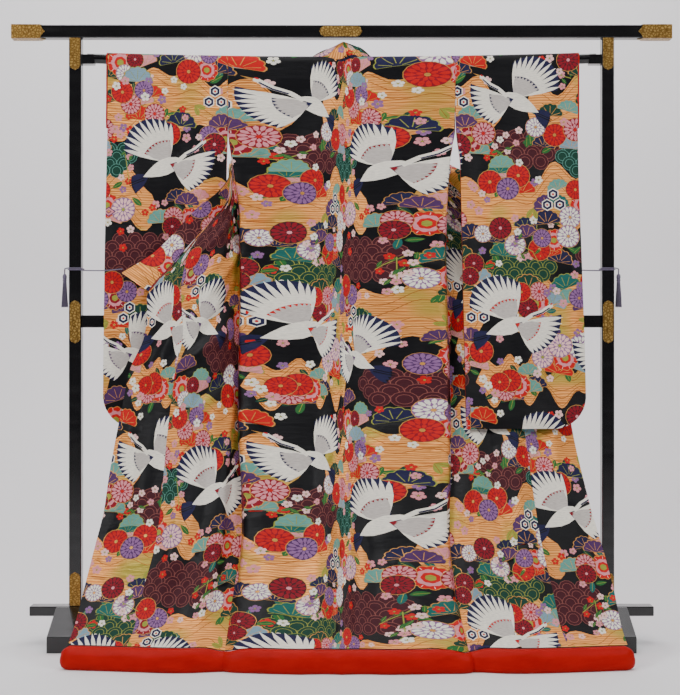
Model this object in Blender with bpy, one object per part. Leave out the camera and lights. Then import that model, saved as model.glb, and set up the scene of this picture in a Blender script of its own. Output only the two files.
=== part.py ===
"""Uchikake wedding kimono hung over the rod of a lacquered kimono stand, seen from its back.

Metres, +Z up. X runs along the stand's beam, the back of the kimono faces -Y.
The origin is on the floor, under the middle of the whole part.
Cloth depths are measured forward (-Y) from the middle plane of the stand.
"""

import math

import bmesh
import bpy
import numpy as np
from mathutils import Vector

GAP = 0.0003          # between pieces that touch
CLOTH = 0.0030        # outer satin, interlining and red lining together

# Stand
BEAM_HALF = 0.9625
BEAM_LOW = 1.766
BEAM_TOP = 1.803
BEAM_DEPTH = 0.040
POST_X = 0.778
POST_WIDTH = 0.036
POST_DEPTH = 0.038
RAIL_LOW = 0.920
RAIL_TOP = 0.956
RAIL_DEPTH = 0.034
BAR_HALF = 0.910
BAR_LOW = 0.079
BAR_TOP = 0.107
BAR_DEPTH = 0.054
FOOT_WIDTH = 0.106
FOOT_HALF = 0.180     # each foot reaches this far forward and back
FOOT_TOP = 0.106
FOOT_END = 0.046      # height of a foot at its ends
FOOT_FLAT = 0.034     # half length of its level top
ROD_HALF = 0.7445
ROD_DEPTH = 0.024
ROD_HEIGHT = 0.029
ROD_Z = 1.7085        # middle of the rod at its ends
ROD_SAG = 0.0125
ROD_CLEAR = 0.0008    # between the rod and the cloth's flat facets over it
CRADLE_LENGTH = 0.036
CRADLE_WALL = 0.0035
PLATE = 0.0015        # thickness of the gold plates
PLATE_WIDTH = 0.031
EDGE = 0.0025         # softened edges of the lacquered timber

# Cloth
HEM_Z = 0.0603
SHOULDER_X = 0.332
NECK_HALF = 0.080
SLEEVE_LOW = 0.629
SLEEVE_CORNER = 0.095
WRIST_LOW = 1.508     # lowest point of the open sleeve mouth
ROLL_FRONT = 0.4805   # how far the hem roll comes out in the middle
SIDE_LINE = 0.0006    # between a body panel's edge and the sleeve's
SEAM_TOP = 1.38       # side seams end here, under the side openings
BACK_TURN = 0.0012    # the least width of the back's turned edge
BACK_DROOP = 0.026    # how much less the hem comes forward at the back's edges
SEAM_PINCHES = (-0.312, 0.335)
PINCH = 0.012         # how much lower the hem runs at the side seams
MOUTH_ROLL = 0.0022   # half thickness of the red edge of a sleeve mouth
SLEEVE_AIR = 0.0065   # half the space between the middles of a sleeve's two sheets
SLEEVE_FOLD = (0.035, 0.009)  # how near its lower edge the sleeve closes
SLEEVE_LEAN = {"left": (0.045, 0.045), "right": (0.131, 0.091)}  # forward at the bottom
SLEEVE_BEND = {"left": 1.0, "right": 1.6}    # 1 hangs straight, more bends low down
COLLAR_FIRST = 11     # row of the fronts at which the collar's tip starts
COLLAR_THICK = 0.0045
COLLAR_PEAKS = {"left": (0.036, 1.736), "right": (0.048, 1.742)}
COLLAR_CREST = 1.757  # top of the standing collar, in the middle of the neck

# Ties and tassels
TIE_RADIUS = 0.0019
TIE_LOOSE = 0.0007    # between the post's edges and the tie
TIE_Z = 1.0880
TIE_RISE = 0.0046     # of one turn round the post
TIE_STARTS = {
    "left": ((0.634, 0.062, 1.0885), (0.690, 0.044, 1.0850), (0.7530, 0.0210, 1.0865)),
    "right": ((0.6545, 0.002, 1.0950), (0.700, 0.008, 1.0880), (0.7530, 0.0140, 1.0865)),
}
TASSEL_X = 0.8105
TASSEL_DEPTH = 0.0045
TASSEL_TOP = 1.077
TASSEL_LENGTH = 0.098
TASSEL_WIDTH = 0.019
TASSEL_CELLS = 5

# Gold fittings
CAP_LENGTH = 0.095
POINT = 0.012         # how far a plate's pointed end reaches past its shoulders
TOP_PLATE = (1.671, 1.7655)
MID_PLATE = (0.873, 1.000)
BASE_PLATE = (0.1080, 0.207)
BEAM_PLATE = (-0.0655, 0.0605)

STAND_Y = (ROLL_FRONT - FOOT_HALF) / 2
ROD_REACH = ROD_DEPTH / 2 + ROD_CLEAR + CLOTH / 2    # rod's middle to the cloth's middle

# Edges and depth of the back, a row for each height
BACK_COLUMNS = ("z", "left", "right", "depth", "step")
BACK_ROWS = (
    (0.060, 0.2810, 0.3240, 0.458, 0.016),
    (0.110, 0.2800, 0.3140, 0.392, 0.018),
    (0.200, 0.2770, 0.3000, 0.326, 0.022),
    (0.300, 0.2700, 0.2925, 0.270, 0.026),
    (0.400, 0.2705, 0.2930, 0.223, 0.028),
    (0.500, 0.2760, 0.2985, 0.178, 0.030),
    (0.600, 0.2860, 0.3020, 0.142, 0.030),
    (0.700, 0.2880, 0.3035, 0.110, 0.028),
    (0.850, 0.2895, 0.3020, 0.077, 0.024),
    (1.000, 0.2890, 0.2995, 0.055, 0.018),
    (1.120, 0.2895, 0.2990, 0.040, 0.012),
    (1.250, 0.2930, 0.3030, 0.029, 0.006),
    (1.390, 0.3130, 0.3110, 0.021, 0.002),
    (1.500, 0.3290, 0.3265, 0.0175, 0.0),
    (1.600, 0.3302, 0.3302, 0.0155, 0.0),
    (1.700, 0.3302, 0.3302, 0.0143, 0.0),
)

# Each front from its side seam (the back's edge) through a fold to its free edge.
# fold, turn and swing are places along the row; edge is the free edge or the collar seam.
FRONT_COLUMNS = (
    "z", "fold_x", "fold_d", "turn_x", "turn_d", "swing_x", "swing_d",
    "edge_x", "edge_d", "edge_z", "okumi",
)
LEFT_ROWS = (
    (0.060, 0.340, 0.424, 0.440, 0.440, 0.590, 0.418, 0.7330, 0.398, 0.060, 0.62),
    (0.110, 0.330, 0.366, 0.420, 0.392, 0.575, 0.374, 0.7215, 0.356, 0.110, 0.61),
    (0.200, 0.322, 0.298, 0.405, 0.335, 0.555, 0.318, 0.7050, 0.300, 0.200, 0.61),
    (0.300, 0.314, 0.242, 0.395, 0.288, 0.535, 0.270, 0.6860, 0.248, 0.300, 0.60),
    (0.400, 0.310, 0.198, 0.385, 0.248, 0.520, 0.228, 0.6660, 0.204, 0.400, 0.60),
    (0.500, 0.308, 0.154, 0.380, 0.208, 0.508, 0.194, 0.6560, 0.168, 0.500, 0.60),
    (0.600, 0.309, 0.118, 0.375, 0.176, 0.495, 0.166, 0.6420, 0.138, 0.600, 0.60),
    (0.700, 0.309, 0.088, 0.370, 0.148, 0.480, 0.146, 0.6250, 0.114, 0.700, 0.60),
    (0.800, 0.308, 0.062, 0.365, 0.128, 0.465, 0.132, 0.6060, 0.096, 0.800, 0.60),
    (0.890, 0.306, 0.044, 0.360, 0.112, 0.450, 0.122, 0.5690, 0.086, 0.885, 0.61),
    (0.985, 0.304, 0.032, 0.355, 0.100, 0.435, 0.112, 0.5590, 0.080, 0.965, 0.65),
    (1.070, 0.302, 0.012, 0.350, 0.088, 0.415, 0.104, 0.5560, 0.080, 1.024, 0.70),
    (1.130, 0.301, 0.002, 0.345, 0.078, 0.395, 0.094, 0.4960, 0.079, 1.096, 0.82),
    (1.190, 0.301, -0.006, 0.338, 0.066, 0.370, 0.082, 0.4380, 0.076, 1.160, 0.93),
    (1.250, 0.302, 0.010, 0.326, 0.040, 0.350, 0.064, 0.3800, 0.070, 1.226, 0.985),
    (1.310, 0.308, 0.021, 0.315, 0.029, 0.3235, 0.041, 0.3360, 0.056, 1.284, 1.0),
    (1.370, 0.3155, 0.0165, 0.3185, 0.0185, 0.3215, 0.022, 0.3245, 0.026, 1.352, 1.0),
    (1.430, 0.320, 0.004, 0.3195, -0.004, 0.319, -0.012, 0.3180, -0.020, 1.404, 1.0),
    (1.465, 0.320, -0.008, 0.314, -0.020, 0.307, -0.033, 0.3000, -0.045, 1.438, 1.0),
    (1.500, 0.313, -0.016, 0.292, -0.030, 0.266, -0.042, 0.2420, -0.050, 1.476, 1.0),
    (1.570, 0.310, -0.021, 0.260, -0.036, 0.205, -0.038, 0.1600, -0.036, 1.556, 1.0),
    (1.640, 0.305, -0.017, 0.240, -0.026, 0.170, -0.029, 0.1150, -0.028, 1.636, 1.0),
    (1.700, 0.290, -0.0139, 0.225, -0.0139, 0.150, -0.0139, 0.0850, -0.0139, 1.700, 1.0),
)
RIGHT_ROWS = (
    (0.060, 0.372, 0.430, 0.470, 0.446, 0.620, 0.428, 0.7640, 0.402, 0.060, 0.62),
    (0.110, 0.360, 0.368, 0.460, 0.388, 0.610, 0.372, 0.7560, 0.350, 0.110, 0.61),
    (0.200, 0.346, 0.300, 0.445, 0.322, 0.595, 0.306, 0.7470, 0.286, 0.200, 0.61),
    (0.300, 0.336, 0.242, 0.435, 0.264, 0.580, 0.248, 0.7280, 0.222, 0.300, 0.60),
    (0.400, 0.334, 0.194, 0.430, 0.214, 0.565, 0.194, 0.7060, 0.164, 0.400, 0.60),
    (0.500, 0.336, 0.148, 0.425, 0.166, 0.552, 0.146, 0.6865, 0.116, 0.500, 0.60),
    (0.600, 0.338, 0.108, 0.420, 0.120, 0.540, 0.100, 0.6690, 0.074, 0.600, 0.60),
    (0.700, 0.338, 0.076, 0.415, 0.082, 0.530, 0.068, 0.6560, 0.052, 0.700, 0.60),
    (0.800, 0.336, 0.052, 0.410, 0.056, 0.520, 0.048, 0.6470, 0.038, 0.800, 0.60),
    (0.890, 0.332, 0.036, 0.405, 0.040, 0.510, 0.036, 0.6410, 0.031, 0.890, 0.60),
    (0.985, 0.324, 0.027, 0.395, 0.028, 0.495, 0.027, 0.6330, 0.027, 0.975, 0.65),
    (1.070, 0.304, 0.014, 0.372, -0.006, 0.470, -0.004, 0.6080, 0.004, 1.045, 0.72),
    (1.130, 0.292, 0.000, 0.352, -0.030, 0.440, -0.030, 0.5520, -0.020, 1.100, 0.82),
    (1.190, 0.284, -0.006, 0.334, -0.044, 0.404, -0.046, 0.4940, -0.038, 1.160, 0.93),
    (1.250, 0.276, -0.010, 0.312, -0.050, 0.366, -0.056, 0.4340, -0.050, 1.226, 0.985),
    (1.310, 0.270, -0.012, 0.290, -0.052, 0.330, -0.062, 0.3780, -0.058, 1.290, 1.0),
    (1.370, 0.268, -0.012, 0.272, -0.048, 0.298, -0.062, 0.3280, -0.062, 1.354, 1.0),
    (1.430, 0.276, -0.014, 0.258, -0.036, 0.264, -0.052, 0.2760, -0.064, 1.416, 1.0),
    (1.465, 0.290, -0.016, 0.264, -0.034, 0.254, -0.048, 0.2510, -0.062, 1.454, 1.0),
    (1.500, 0.300, -0.020, 0.262, -0.034, 0.242, -0.048, 0.2260, -0.054, 1.490, 1.0),
    (1.570, 0.306, -0.020, 0.256, -0.032, 0.212, -0.040, 0.1720, -0.042, 1.562, 1.0),
    (1.640, 0.304, -0.017, 0.240, -0.026, 0.172, -0.029, 0.1210, -0.028, 1.638, 1.0),
    (1.700, 0.290, -0.0139, 0.225, -0.0139, 0.150, -0.0139, 0.0850, -0.0139, 1.700, 1.0),
)

# Width of each side collar up its seam, from the cut tip to the shoulder line
COLLAR_COLUMNS = ("z", "width", "slant")
COLLAR_ROWS = (
    (1.024, 0.098, 0.10),
    (1.096, 0.064, 0.04),
    (1.160, 0.058, 0.0),
    (1.280, 0.052, 0.0),
    (1.350, 0.048, 0.0),
    (1.400, 0.044, 0.0),
    (1.480, 0.052, 0.0),
    (1.640, 0.053, 0.0),
    (1.720, 0.051, 0.0),
)

# Inner and outer edge of each sleeve
SLEEVE_COLUMNS = ("z", "left_in", "left_out", "right_in", "right_out")
SLEEVE_ROWS = (
    (0.600, 0.3385, 0.692, 0.3550, 0.703),
    (0.750, 0.3385, 0.692, 0.3540, 0.703),
    (1.100, 0.3375, 0.690, 0.3500, 0.698),
    (1.400, 0.3355, 0.686, 0.3460, 0.691),
    (1.500, 0.3332, 0.684, 0.3350, 0.690),
    (1.600, 0.3326, 0.683, 0.3326, 0.690),
    (1.700, 0.3326, 0.683, 0.3326, 0.690),
)

# Samples: heights of the body's rows, places across the back, down a sleeve, and round the rod
BACK_HEIGHTS = [row[0] for row in LEFT_ROWS]
BACK_SHARES = (0, 0.03, 0.07, 0.12, 0.18, 0.256, 0.40, 0.60, 0.80, 1.0)
FRONT_POINTS = 17
TURNS = (0, 22, 45, 67, 88.8)
SLEEVE_STEPS = 12
SLEEVE_DOWN = (0.04, 0.14, 0.28, 0.44, 0.60, 0.76, 0.89, 1.0)

# The left collar is bunched where it slips between sleeve and back: its reach in these rows
COLLAR_AIMS = {
    ("left", 16): (-0.0030, -0.0160, 0.004),
    ("left", 17): (-0.0095, 0.0060, 0.003),
    ("left", 18): (-0.0060, 0.0170, 0.000),
}

BUNCHED = 0.0045      # room for that turn

# The hem roll across its length: out is forward of the hem line, up a share of its height
ROLL_SECTION = (
    (-0.0140, 0.00), (0.0140, 0.00), (0.0200, 0.12), (0.0225, 0.36), (0.0205, 0.66),
    (0.0120, 0.91), (0.0034, 1.00), (-0.0034, 1.00), (-0.0120, 0.90), (-0.0195, 0.62),
    (-0.0210, 0.34), (-0.0190, 0.12),
)

# Pointed end of a gold plate: share of its half width, share of the point's length
OGEE = ((1.0, 0.0), (0.80, 0.06), (0.84, 0.30), (0.62, 0.58), (0.28, 0.74), (0.0, 1.0))


def clear_scene():
    for thing in list(bpy.data.objects):
        bpy.data.objects.remove(thing, do_unlink=True)


def material(name, colour, roughness, metallic=0.0):
    made = bpy.data.materials.get(name)
    if made:
        return made
    made = bpy.data.materials.new(name)
    made.use_nodes = True
    shader = made.node_tree.nodes["Principled BSDF"]
    shader.inputs["Base Color"].default_value = (*colour, 1.0)
    shader.inputs["Roughness"].default_value = roughness
    shader.inputs["Metallic"].default_value = metallic
    return made


def lacquer():
    return material("black_lacquer", (0.012, 0.011, 0.012), 0.18)


def gold():
    return material("gilt_brass", (0.55, 0.38, 0.13), 0.35, 1.0)


def satin():
    return material("figured_satin", (0.05, 0.035, 0.03), 0.55)


def lining():
    return material("red_lining", (0.48, 0.02, 0.01), 0.6)


def silk_cord():
    return material("tie_cord", (0.12, 0.10, 0.14), 0.7)


def add(name, mesh, finish):
    mesh.materials.append(finish)
    made = bpy.data.objects.new(name, mesh)
    bpy.context.scene.collection.objects.link(made)
    return made


def from_bmesh(name, shape, finish, smooth=True):
    bmesh.ops.recalc_face_normals(shape, faces=shape.faces)
    mesh = bpy.data.meshes.new(name)
    shape.to_mesh(mesh)
    shape.free()
    if smooth:
        mesh.shade_smooth()
        mesh.set_sharp_from_angle(angle=math.radians(35))
    return add(name, mesh, finish)


def from_grid(name, rings, finish, close_ring):
    """One closed solid skinned over rings of points; both end rings are capped."""
    shape = bmesh.new()
    rows = [[shape.verts.new(point) for point in ring] for ring in rings]
    count = len(rows[0])
    last = count if close_ring else count - 1
    for low, high in zip(rows, rows[1:]):
        for i in range(last):
            j = (i + 1) % count
            shape.faces.new((low[i], low[j], high[j], high[i]))
    shape.faces.new(rows[0])
    shape.faces.new(rows[-1])
    return from_bmesh(name, shape, finish)


def slope(xs, ys):
    """Steepness at each point of a table, level at its peaks, so that curves never overshoot."""
    steps = np.diff(xs)
    rises = np.diff(ys) / steps
    found = np.zeros(len(xs))
    found[0] = rises[0]
    found[-1] = rises[-1]
    for i in range(1, len(xs) - 1):
        if rises[i - 1] * rises[i] > 0:
            found[i] = 2 * rises[i - 1] * rises[i] / (rises[i - 1] + rises[i])
    return found


def read(names, rows, name, at):
    """A column of a table at any height, on a smooth curve through the rows."""
    xs = np.array([row[0] for row in rows])
    ys = np.array([row[names.index(name)] for row in rows])
    at = min(max(at, xs[0]), xs[-1])
    i = min(int(np.searchsorted(xs, at, side="right")) - 1, len(xs) - 2)
    i = max(i, 0)
    step = xs[i + 1] - xs[i]
    t = (at - xs[i]) / step
    tilt = slope(xs, ys)
    return float(
        ys[i] * (1 + 2 * t) * (1 - t) ** 2
        + ys[i + 1] * t * t * (3 - 2 * t)
        + step * tilt[i] * t * (1 - t) ** 2
        - step * tilt[i + 1] * t * t * (1 - t)
    )


def sag(x):
    """How far the loaded rod has dropped at a place along it."""
    return ROD_SAG * (1 - min(abs(x) / ROD_HALF, 1.0) ** 2)


def hang(x, z):
    """The rod's sag pulls the upper cloth down with it, fading out toward the hem."""
    return sag(x) * min(max((z - 0.9) / 0.75, 0.0), 1.0) ** 2


def over_rod(x, turn, side):
    """Middle of the cloth round the rod: turn 0 is at its side, 90 on its crown."""
    rise = ROD_HEIGHT / 2 + ROD_CLEAR + CLOTH / 2
    y = STAND_Y + side * ROD_REACH * math.cos(math.radians(max(turn, 0.0)))
    z = ROD_Z - sag(x) + rise * math.sin(math.radians(turn))
    return Vector((x, y, z))


def spline(points, count):
    """Points spaced evenly along a smooth curve through a few points."""
    points = [Vector(p) for p in points]
    ends = [points[0] * 2 - points[1], *points, points[-1] * 2 - points[-2]]
    fine = []
    for a, b, c, d in zip(ends, ends[1:], ends[2:], ends[3:]):
        for k in range(12):
            t = k / 12
            fine.append(
                0.5
                * (
                    2 * b
                    + (c - a) * t
                    + (2 * a - 5 * b + 4 * c - d) * t**2
                    + (3 * b - a - 3 * c + d) * t**3
                )
            )
    fine.append(points[-1])
    lengths = [0.0]
    for a, b in zip(fine, fine[1:]):
        lengths.append(lengths[-1] + (b - a).length)
    found = []
    for k in range(count):
        want = lengths[-1] * k / (count - 1)
        i = 0
        while i < len(lengths) - 2 and lengths[i + 1] < want:
            i += 1
        t = (want - lengths[i]) / (lengths[i + 1] - lengths[i])
        found.append(fine[i].lerp(fine[i + 1], t))
    return found


def grid_normals(grid):
    """Which way each point of a sheet faces: forward, out of the back's outer side."""
    rows, columns = len(grid), len(grid[0])
    found = []
    for i in range(rows):
        line = []
        for j in range(columns):
            up = grid[min(i + 1, rows - 1)][j] - grid[max(i - 1, 0)][j]
            along = grid[i][min(j + 1, columns - 1)] - grid[i][max(j - 1, 0)]
            line.append(along.cross(up).normalized())
        found.append(line)
    return found


def wall(name, grid, normals, finish, thick=None):
    """A closed cloth wall on both sides of a sheet of points."""
    shape = bmesh.new()
    rows, columns = len(grid), len(grid[0])
    thick = thick or [CLOTH] * columns
    sides = []
    for way in (0.5, -0.5):
        sides.append(
            [
                [
                    shape.verts.new(grid[i][j] + normals[i][j] * thick[j] * way)
                    for j in range(columns)
                ]
                for i in range(rows)
            ]
        )
    for side in sides:
        for i in range(rows - 1):
            for j in range(columns - 1):
                shape.faces.new(
                    (side[i][j], side[i][j + 1], side[i + 1][j + 1], side[i + 1][j])
                )
    outer, inner = sides
    for i in range(rows - 1):
        for j in (0, columns - 1):
            shape.faces.new((outer[i][j], outer[i + 1][j], inner[i + 1][j], inner[i][j]))
    for j in range(columns - 1):
        for i in (0, rows - 1):
            shape.faces.new((outer[i][j], outer[i][j + 1], inner[i][j + 1], inner[i][j]))
    return from_bmesh(name, shape, finish)


def cut_back(grid, first, last):
    """Leaves half a gap at a sheet's first and last column, where a seam is."""
    for line in grid:
        if first:
            line[0] = line[0] + (line[1] - line[0]).normalized() * GAP * 0.6
        if last:
            line[-1] = line[-1] + (line[-2] - line[-1]).normalized() * GAP * 0.6
    return grid


def forward(depth):
    return STAND_Y - depth


# Back

def hem_dip(x):
    """The hem is pinched lower at both side seams."""
    return PINCH * sum(math.exp(-(((x - at) / 0.035) ** 2)) for at in SEAM_PINCHES)


def hem_height(x):
    return HEM_Z - hem_dip(x) + 0.0045


def neck_share(x):
    """1 at the middle of the neckline, 0 from its ends outward."""
    return min(max((NECK_HALF + 0.008 - abs(x)) / NECK_HALF, 0.0), 1.0)


def share_open(x):
    """How much of the turn over the rod the cloth makes: none at the middle of the neck."""
    return (1 - neck_share(x)) ** 0.6


def neck_turn(x, turn):
    """Where a row over the rod runs: full turn outside the neck, below the rod's side in it."""
    opened = share_open(x)
    return turn * opened - 40 * (1 - turn / TURNS[-1]) * (1 - opened)


def round_rod(faces, rows, side, opened=None):
    """Rows of cloth that lie on the rod face straight away from it."""
    for turn, line in zip(TURNS, faces[rows:]):
        for j in range(len(line)):
            share = opened[j] if opened else 1.0
            angle = math.radians(max(turn * share, 0.0))
            line[j] = Vector((0, side * math.cos(angle), math.sin(angle)))


def back_row(side, z):
    """One level row of the back's half, from the centre seam to the side seam."""
    name = "left" if side < 0 else "right"
    edge = read(BACK_COLUMNS, BACK_ROWS, name, z)
    depth = read(BACK_COLUMNS, BACK_ROWS, "depth", z)
    step = read(BACK_COLUMNS, BACK_ROWS, "step", z)
    low = max(0.0, 1 - z / 1.2)
    points = []
    for t in BACK_SHARES:
        x = side * edge * t
        droop = BACK_DROOP * low**2 * t**2 * (1.0 if side < 0 else 0.55)
        ripple = 0.006 * low * math.sin(3.1 * math.pi * t) * (1 - t)
        points.append(Vector((x, forward(depth - droop - ripple), z - hang(x, z))))
    corner = points[-1]
    spread = (0.030 if side < 0 else 0.010) * max(0.0, 1 - z / 0.30)
    seam = corner + Vector((side * (step * 0.3 + spread + BACK_TURN), step, 0))
    return points, seam


def back_grid(side):
    grid = []
    for z in BACK_HEIGHTS[:-1]:
        points, seam = back_row(side, z)
        grid.append([*points, seam])
    for i, point in enumerate(grid[0]):
        grid[0][i] = Vector((point.x, point.y, hem_height(point.x)))
    edge = SHOULDER_X - SIDE_LINE - BACK_TURN
    for turn in TURNS:
        line = []
        for t in BACK_SHARES:
            x = side * edge * t
            line.append(over_rod(x, neck_turn(x, turn), -1))
        line.append(line[-1] + Vector((side * BACK_TURN, 0, 0)))
        grid.append(line)
    return grid


# Fronts

def front_row(side, row):
    """One row of a front and its overlap panel, from the side seam to the free edge."""
    at = dict(zip(FRONT_COLUMNS, row))
    z = at["z"]
    if z < 1.40:
        seam = back_row(side, z)[1]
    else:
        gone = min((z - 1.40) / 0.10, 1.0)
        low = back_row(side, 1.39)[1]
        x = side * (abs(low.x) * (1 - gone) + (SHOULDER_X - SIDE_LINE) * gone)
        behind = -ROD_REACH * max(z - 1.5, 0.0) / 0.2
        seam = Vector((x, forward(0.019 * (1 - gone) + behind * gone), z - hang(x, z)))
    if z <= 0.0601:
        seam.z = z
    middle = 0.5 * (z + at["edge_z"])
    route = [
        seam,
        Vector((side * at["fold_x"], forward(at["fold_d"]), z - hang(at["fold_x"], z))),
        Vector((side * at["turn_x"], forward(at["turn_d"]), z - hang(at["turn_x"], z))),
        Vector((side * at["swing_x"], forward(at["swing_d"]), middle - hang(0.2, middle))),
        Vector((side * at["edge_x"], forward(at["edge_d"]), at["edge_z"] - hang(0.1, z))),
    ]
    line = spline(route, FRONT_POINTS)
    if z <= 0.0601:
        line = [Vector((p.x, p.y, hem_height(p.x))) for p in line]
    return line


def front_grid(side):
    rows = LEFT_ROWS if side < 0 else RIGHT_ROWS
    grid = [front_row(side, row) for row in rows]
    top = grid[-1]
    for j, point in enumerate(top):
        top[j] = over_rod(point.x, 0, 1)
    for turn in TURNS[1:]:
        grid.append([over_rod(p.x, turn, 1) for p in top])
    return grid


def okumi_column(side):
    """For each row, the column where the overlap panel's seam crosses it."""
    rows = LEFT_ROWS if side < 0 else RIGHT_ROWS
    return [row[FRONT_COLUMNS.index("okumi")] for row in rows]


def part_row(line, start, end, count):
    """Evenly spaced points on a stretch of a row, given as shares of its length."""
    lengths = [0.0]
    for a, b in zip(line, line[1:]):
        lengths.append(lengths[-1] + (b - a).length)
    found = []
    for k in range(count):
        want = lengths[-1] * (start + (end - start) * k / (count - 1))
        i = 0
        while i < len(lengths) - 2 and lengths[i + 1] < want:
            i += 1
        t = (want - lengths[i]) / (lengths[i + 1] - lengths[i])
        found.append(line[i].lerp(line[i + 1], min(max(t, 0.0), 1.0)))
    return found


def facing(side, grid):
    """Normals toward the outer side of the cloth, on either half of the garment."""
    faces = grid_normals(grid)
    return [[-n for n in line] for line in faces] if side < 0 else faces


def mitre(faces, i, j, others, k, m):
    """Two panels that meet at a seam end in one shared plane there."""
    both = (faces[i][j] + others[k][m]).normalized()
    faces[i][j] = both
    others[k][m] = both


def half(side):
    """The panels of one half, as sheets of points with their facing directions."""
    back = back_grid(side)
    front = front_grid(side)
    shares = okumi_column(side)
    shares += [1.0] * (len(front) - len(shares))
    main = [part_row(line, 0.0, share, 14) for line, share in zip(front, shares)]
    laps = [i for i, share in enumerate(shares) if share < 1.0]
    lap = [part_row(front[i], shares[i], 1.0, 5) for i in laps]
    for sheet in (main, lap):
        sheet[0] = [Vector((p.x, p.y, hem_height(p.x))) for p in sheet[0]]
    for i, z in enumerate(BACK_HEIGHTS):
        if z < SEAM_TOP:
            main[i][0] = back[i][-1].copy()
    back_faces = facing(side, back)
    main_faces = facing(side, main)
    lap_faces = facing(side, lap)
    opened = [share_open(point.x) for point in back[-1]]
    round_rod(back_faces, len(back) - len(TURNS), -1, opened)
    round_rod(main_faces, len(main) - len(TURNS), 1)
    for line in back_faces:
        line[0] = Vector((0, line[0].y, line[0].z)).normalized()
    for faces in (back_faces, main_faces, lap_faces):
        faces[0] = [Vector((n.x, n.y, 0)).normalized() for n in faces[0]]
    for i, z in enumerate(BACK_HEIGHTS):
        if z < SEAM_TOP:
            mitre(back_faces, i, -1, main_faces, i, 0)
    for i in laps:
        mitre(main_faces, i, -1, lap_faces, i, 0)
    return back, back_faces, main, main_faces, lap, lap_faces


def collar_side(side, main, main_faces, lap, lap_faces):
    """A collar stretch that carries on from the front's edge, tip to shoulder line."""
    word = "left" if side < 0 else "right"
    tip_x, tip_z = COLLAR_PEAKS[word]
    seam = []
    sources = []
    for i in range(COLLAR_FIRST, len(main)):
        source = (lap, lap_faces) if i < len(lap) else (main, main_faces)
        sources.append((source[1], i))
        seam.append((source[0][i][-1], source[0][i][-2], source[1][i][-1]))
    grid = []
    count = len(seam)
    for i, (here, before, face) in enumerate(seam):
        line = seam[min(i + 1, count - 1)][0] - seam[max(i - 1, 0)][0]
        out = line.cross(face).normalized()
        if out.dot(here - before) < 0:
            out = -out
        width = read(COLLAR_COLUMNS, COLLAR_ROWS, "width", here.z)
        slant = read(COLLAR_COLUMNS, COLLAR_ROWS, "slant", here.z)
        out = (out - line.normalized() * slant).normalized()
        aim = COLLAR_AIMS.get((word, COLLAR_FIRST + i))
        if aim:
            out = Vector(aim).normalized()
            width = Vector(aim).length
        on_rod = i - (count - len(TURNS))
        if on_rod >= 0:
            share = math.sin(math.radians(TURNS[on_rod]))
            peak = Vector((side * tip_x, here.y, tip_z))
            goal = (peak - here).normalized()
            level = Vector((-side, 0.12 * (1 - share), 0))
            out = (level * (1 - share) + goal * share).normalized()
            if share > 0.99:
                width = (peak - here).length
        curl = face * (0.0 if aim else 0.003)
        start = here + out * (GAP + (BUNCHED if aim else 0.0))
        free = start + out * width
        grid.append([start, start.lerp(free, 0.35) + curl, start.lerp(free, 0.72) + curl, free])
    faces = facing(side, grid)
    for i, (other, k) in enumerate(sources):
        mitre(faces, i, 0, other, k, -1)
    end = (grid[-1][-1] - grid[-1][0]).normalized()
    upright = Vector((end.z, 0, -end.x)).normalized()
    upright = upright if upright.z > 0 else -upright
    sign = 1 if faces[-2][1].dot(upright) > 0 else -1
    faces[-1] = [faces[-1][0], *[upright * sign] * 3]
    grid[-1] = [Vector((p.x, STAND_Y + 0.0005, p.z)) for p in grid[-1]]
    wall(f"collar_{word}", grid, faces, satin())


def garment():
    """Backs, fronts, overlap panels and side collars: one sheet, parted at its seams."""
    hems = {}
    for side, word in ((-1, "left"), (1, "right")):
        back, back_faces, main, main_faces, lap, lap_faces = half(side)
        collar_side(side, main, main_faces, lap, lap_faces)
        hems[side] = (back[0], [*main[0], *lap[0][1:]])
        hems[side] = tuple([p.copy() for p in line] for line in hems[side])
        wall(f"back_{word}", cut_back(back, True, True), back_faces, satin())
        wall(f"front_{word}", cut_back(main, True, True), main_faces, satin())
        wall(f"okumi_{word}", cut_back(lap, True, True), lap_faces, satin())
    hem_rolls(hems)


def collar_neck():
    """The stretch that stands up along the back neckline, in front of and over the rod."""
    grid = []
    faces = []
    edge = SHOULDER_X - SIDE_LINE - BACK_TURN
    halves = [edge * t for t in BACK_SHARES if edge * t < NECK_HALF] + [NECK_HALF + 0.0040]
    places = [-x for x in reversed(halves[1:])] + halves
    for x in places:
        a = x / places[-1]
        tip_x, tip_z = COLLAR_PEAKS["left" if a < 0 else "right"]
        turn = 88.8 * share_open(x)
        angle = math.radians(turn)
        onward = Vector((0, math.sin(angle), math.cos(angle)))
        seam = over_rod(x, turn, -1) + onward * (2 * GAP)
        crest = COLLAR_CREST - (COLLAR_CREST - tip_z) * a * a
        lean = STAND_Y + 0.002 - 0.0023 * a * a
        free = Vector((0.005 * (1 - a * a) + abs(a) * a * tip_x, lean, crest))
        outward = Vector((0, -0.010, 0.006)) * (1 - a * a)
        middle = seam.lerp(free, 0.45) + outward
        line = [seam, seam.lerp(middle, 0.5) + outward * 0.25, middle, free]
        if abs(a) > 0.999:
            line = [Vector((p.x, STAND_Y - 0.0003, p.z)) for p in line]
        grid.append(line)
        faces.append(Vector((0, -math.cos(angle), math.sin(angle))))
    found = [[-n for n in line] for line in grid_normals(grid)]
    for line, face in zip(found, faces):
        line[0] = face
    for i in (0, -1):
        along = (grid[i][-1] - grid[i][0]).normalized()
        upright = Vector((along.z, 0, -along.x))
        upright = upright if upright.z > 0 else -upright
        sign = 1 if found[i][1].dot(upright) > 0 else -1
        found[i] = [Vector((0, 0, sign)), *[upright * sign] * 3]
    thick = [CLOTH, COLLAR_THICK, COLLAR_THICK, COLLAR_THICK * 0.8]
    wall("collar_neck", grid, found, satin(), thick)


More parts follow.
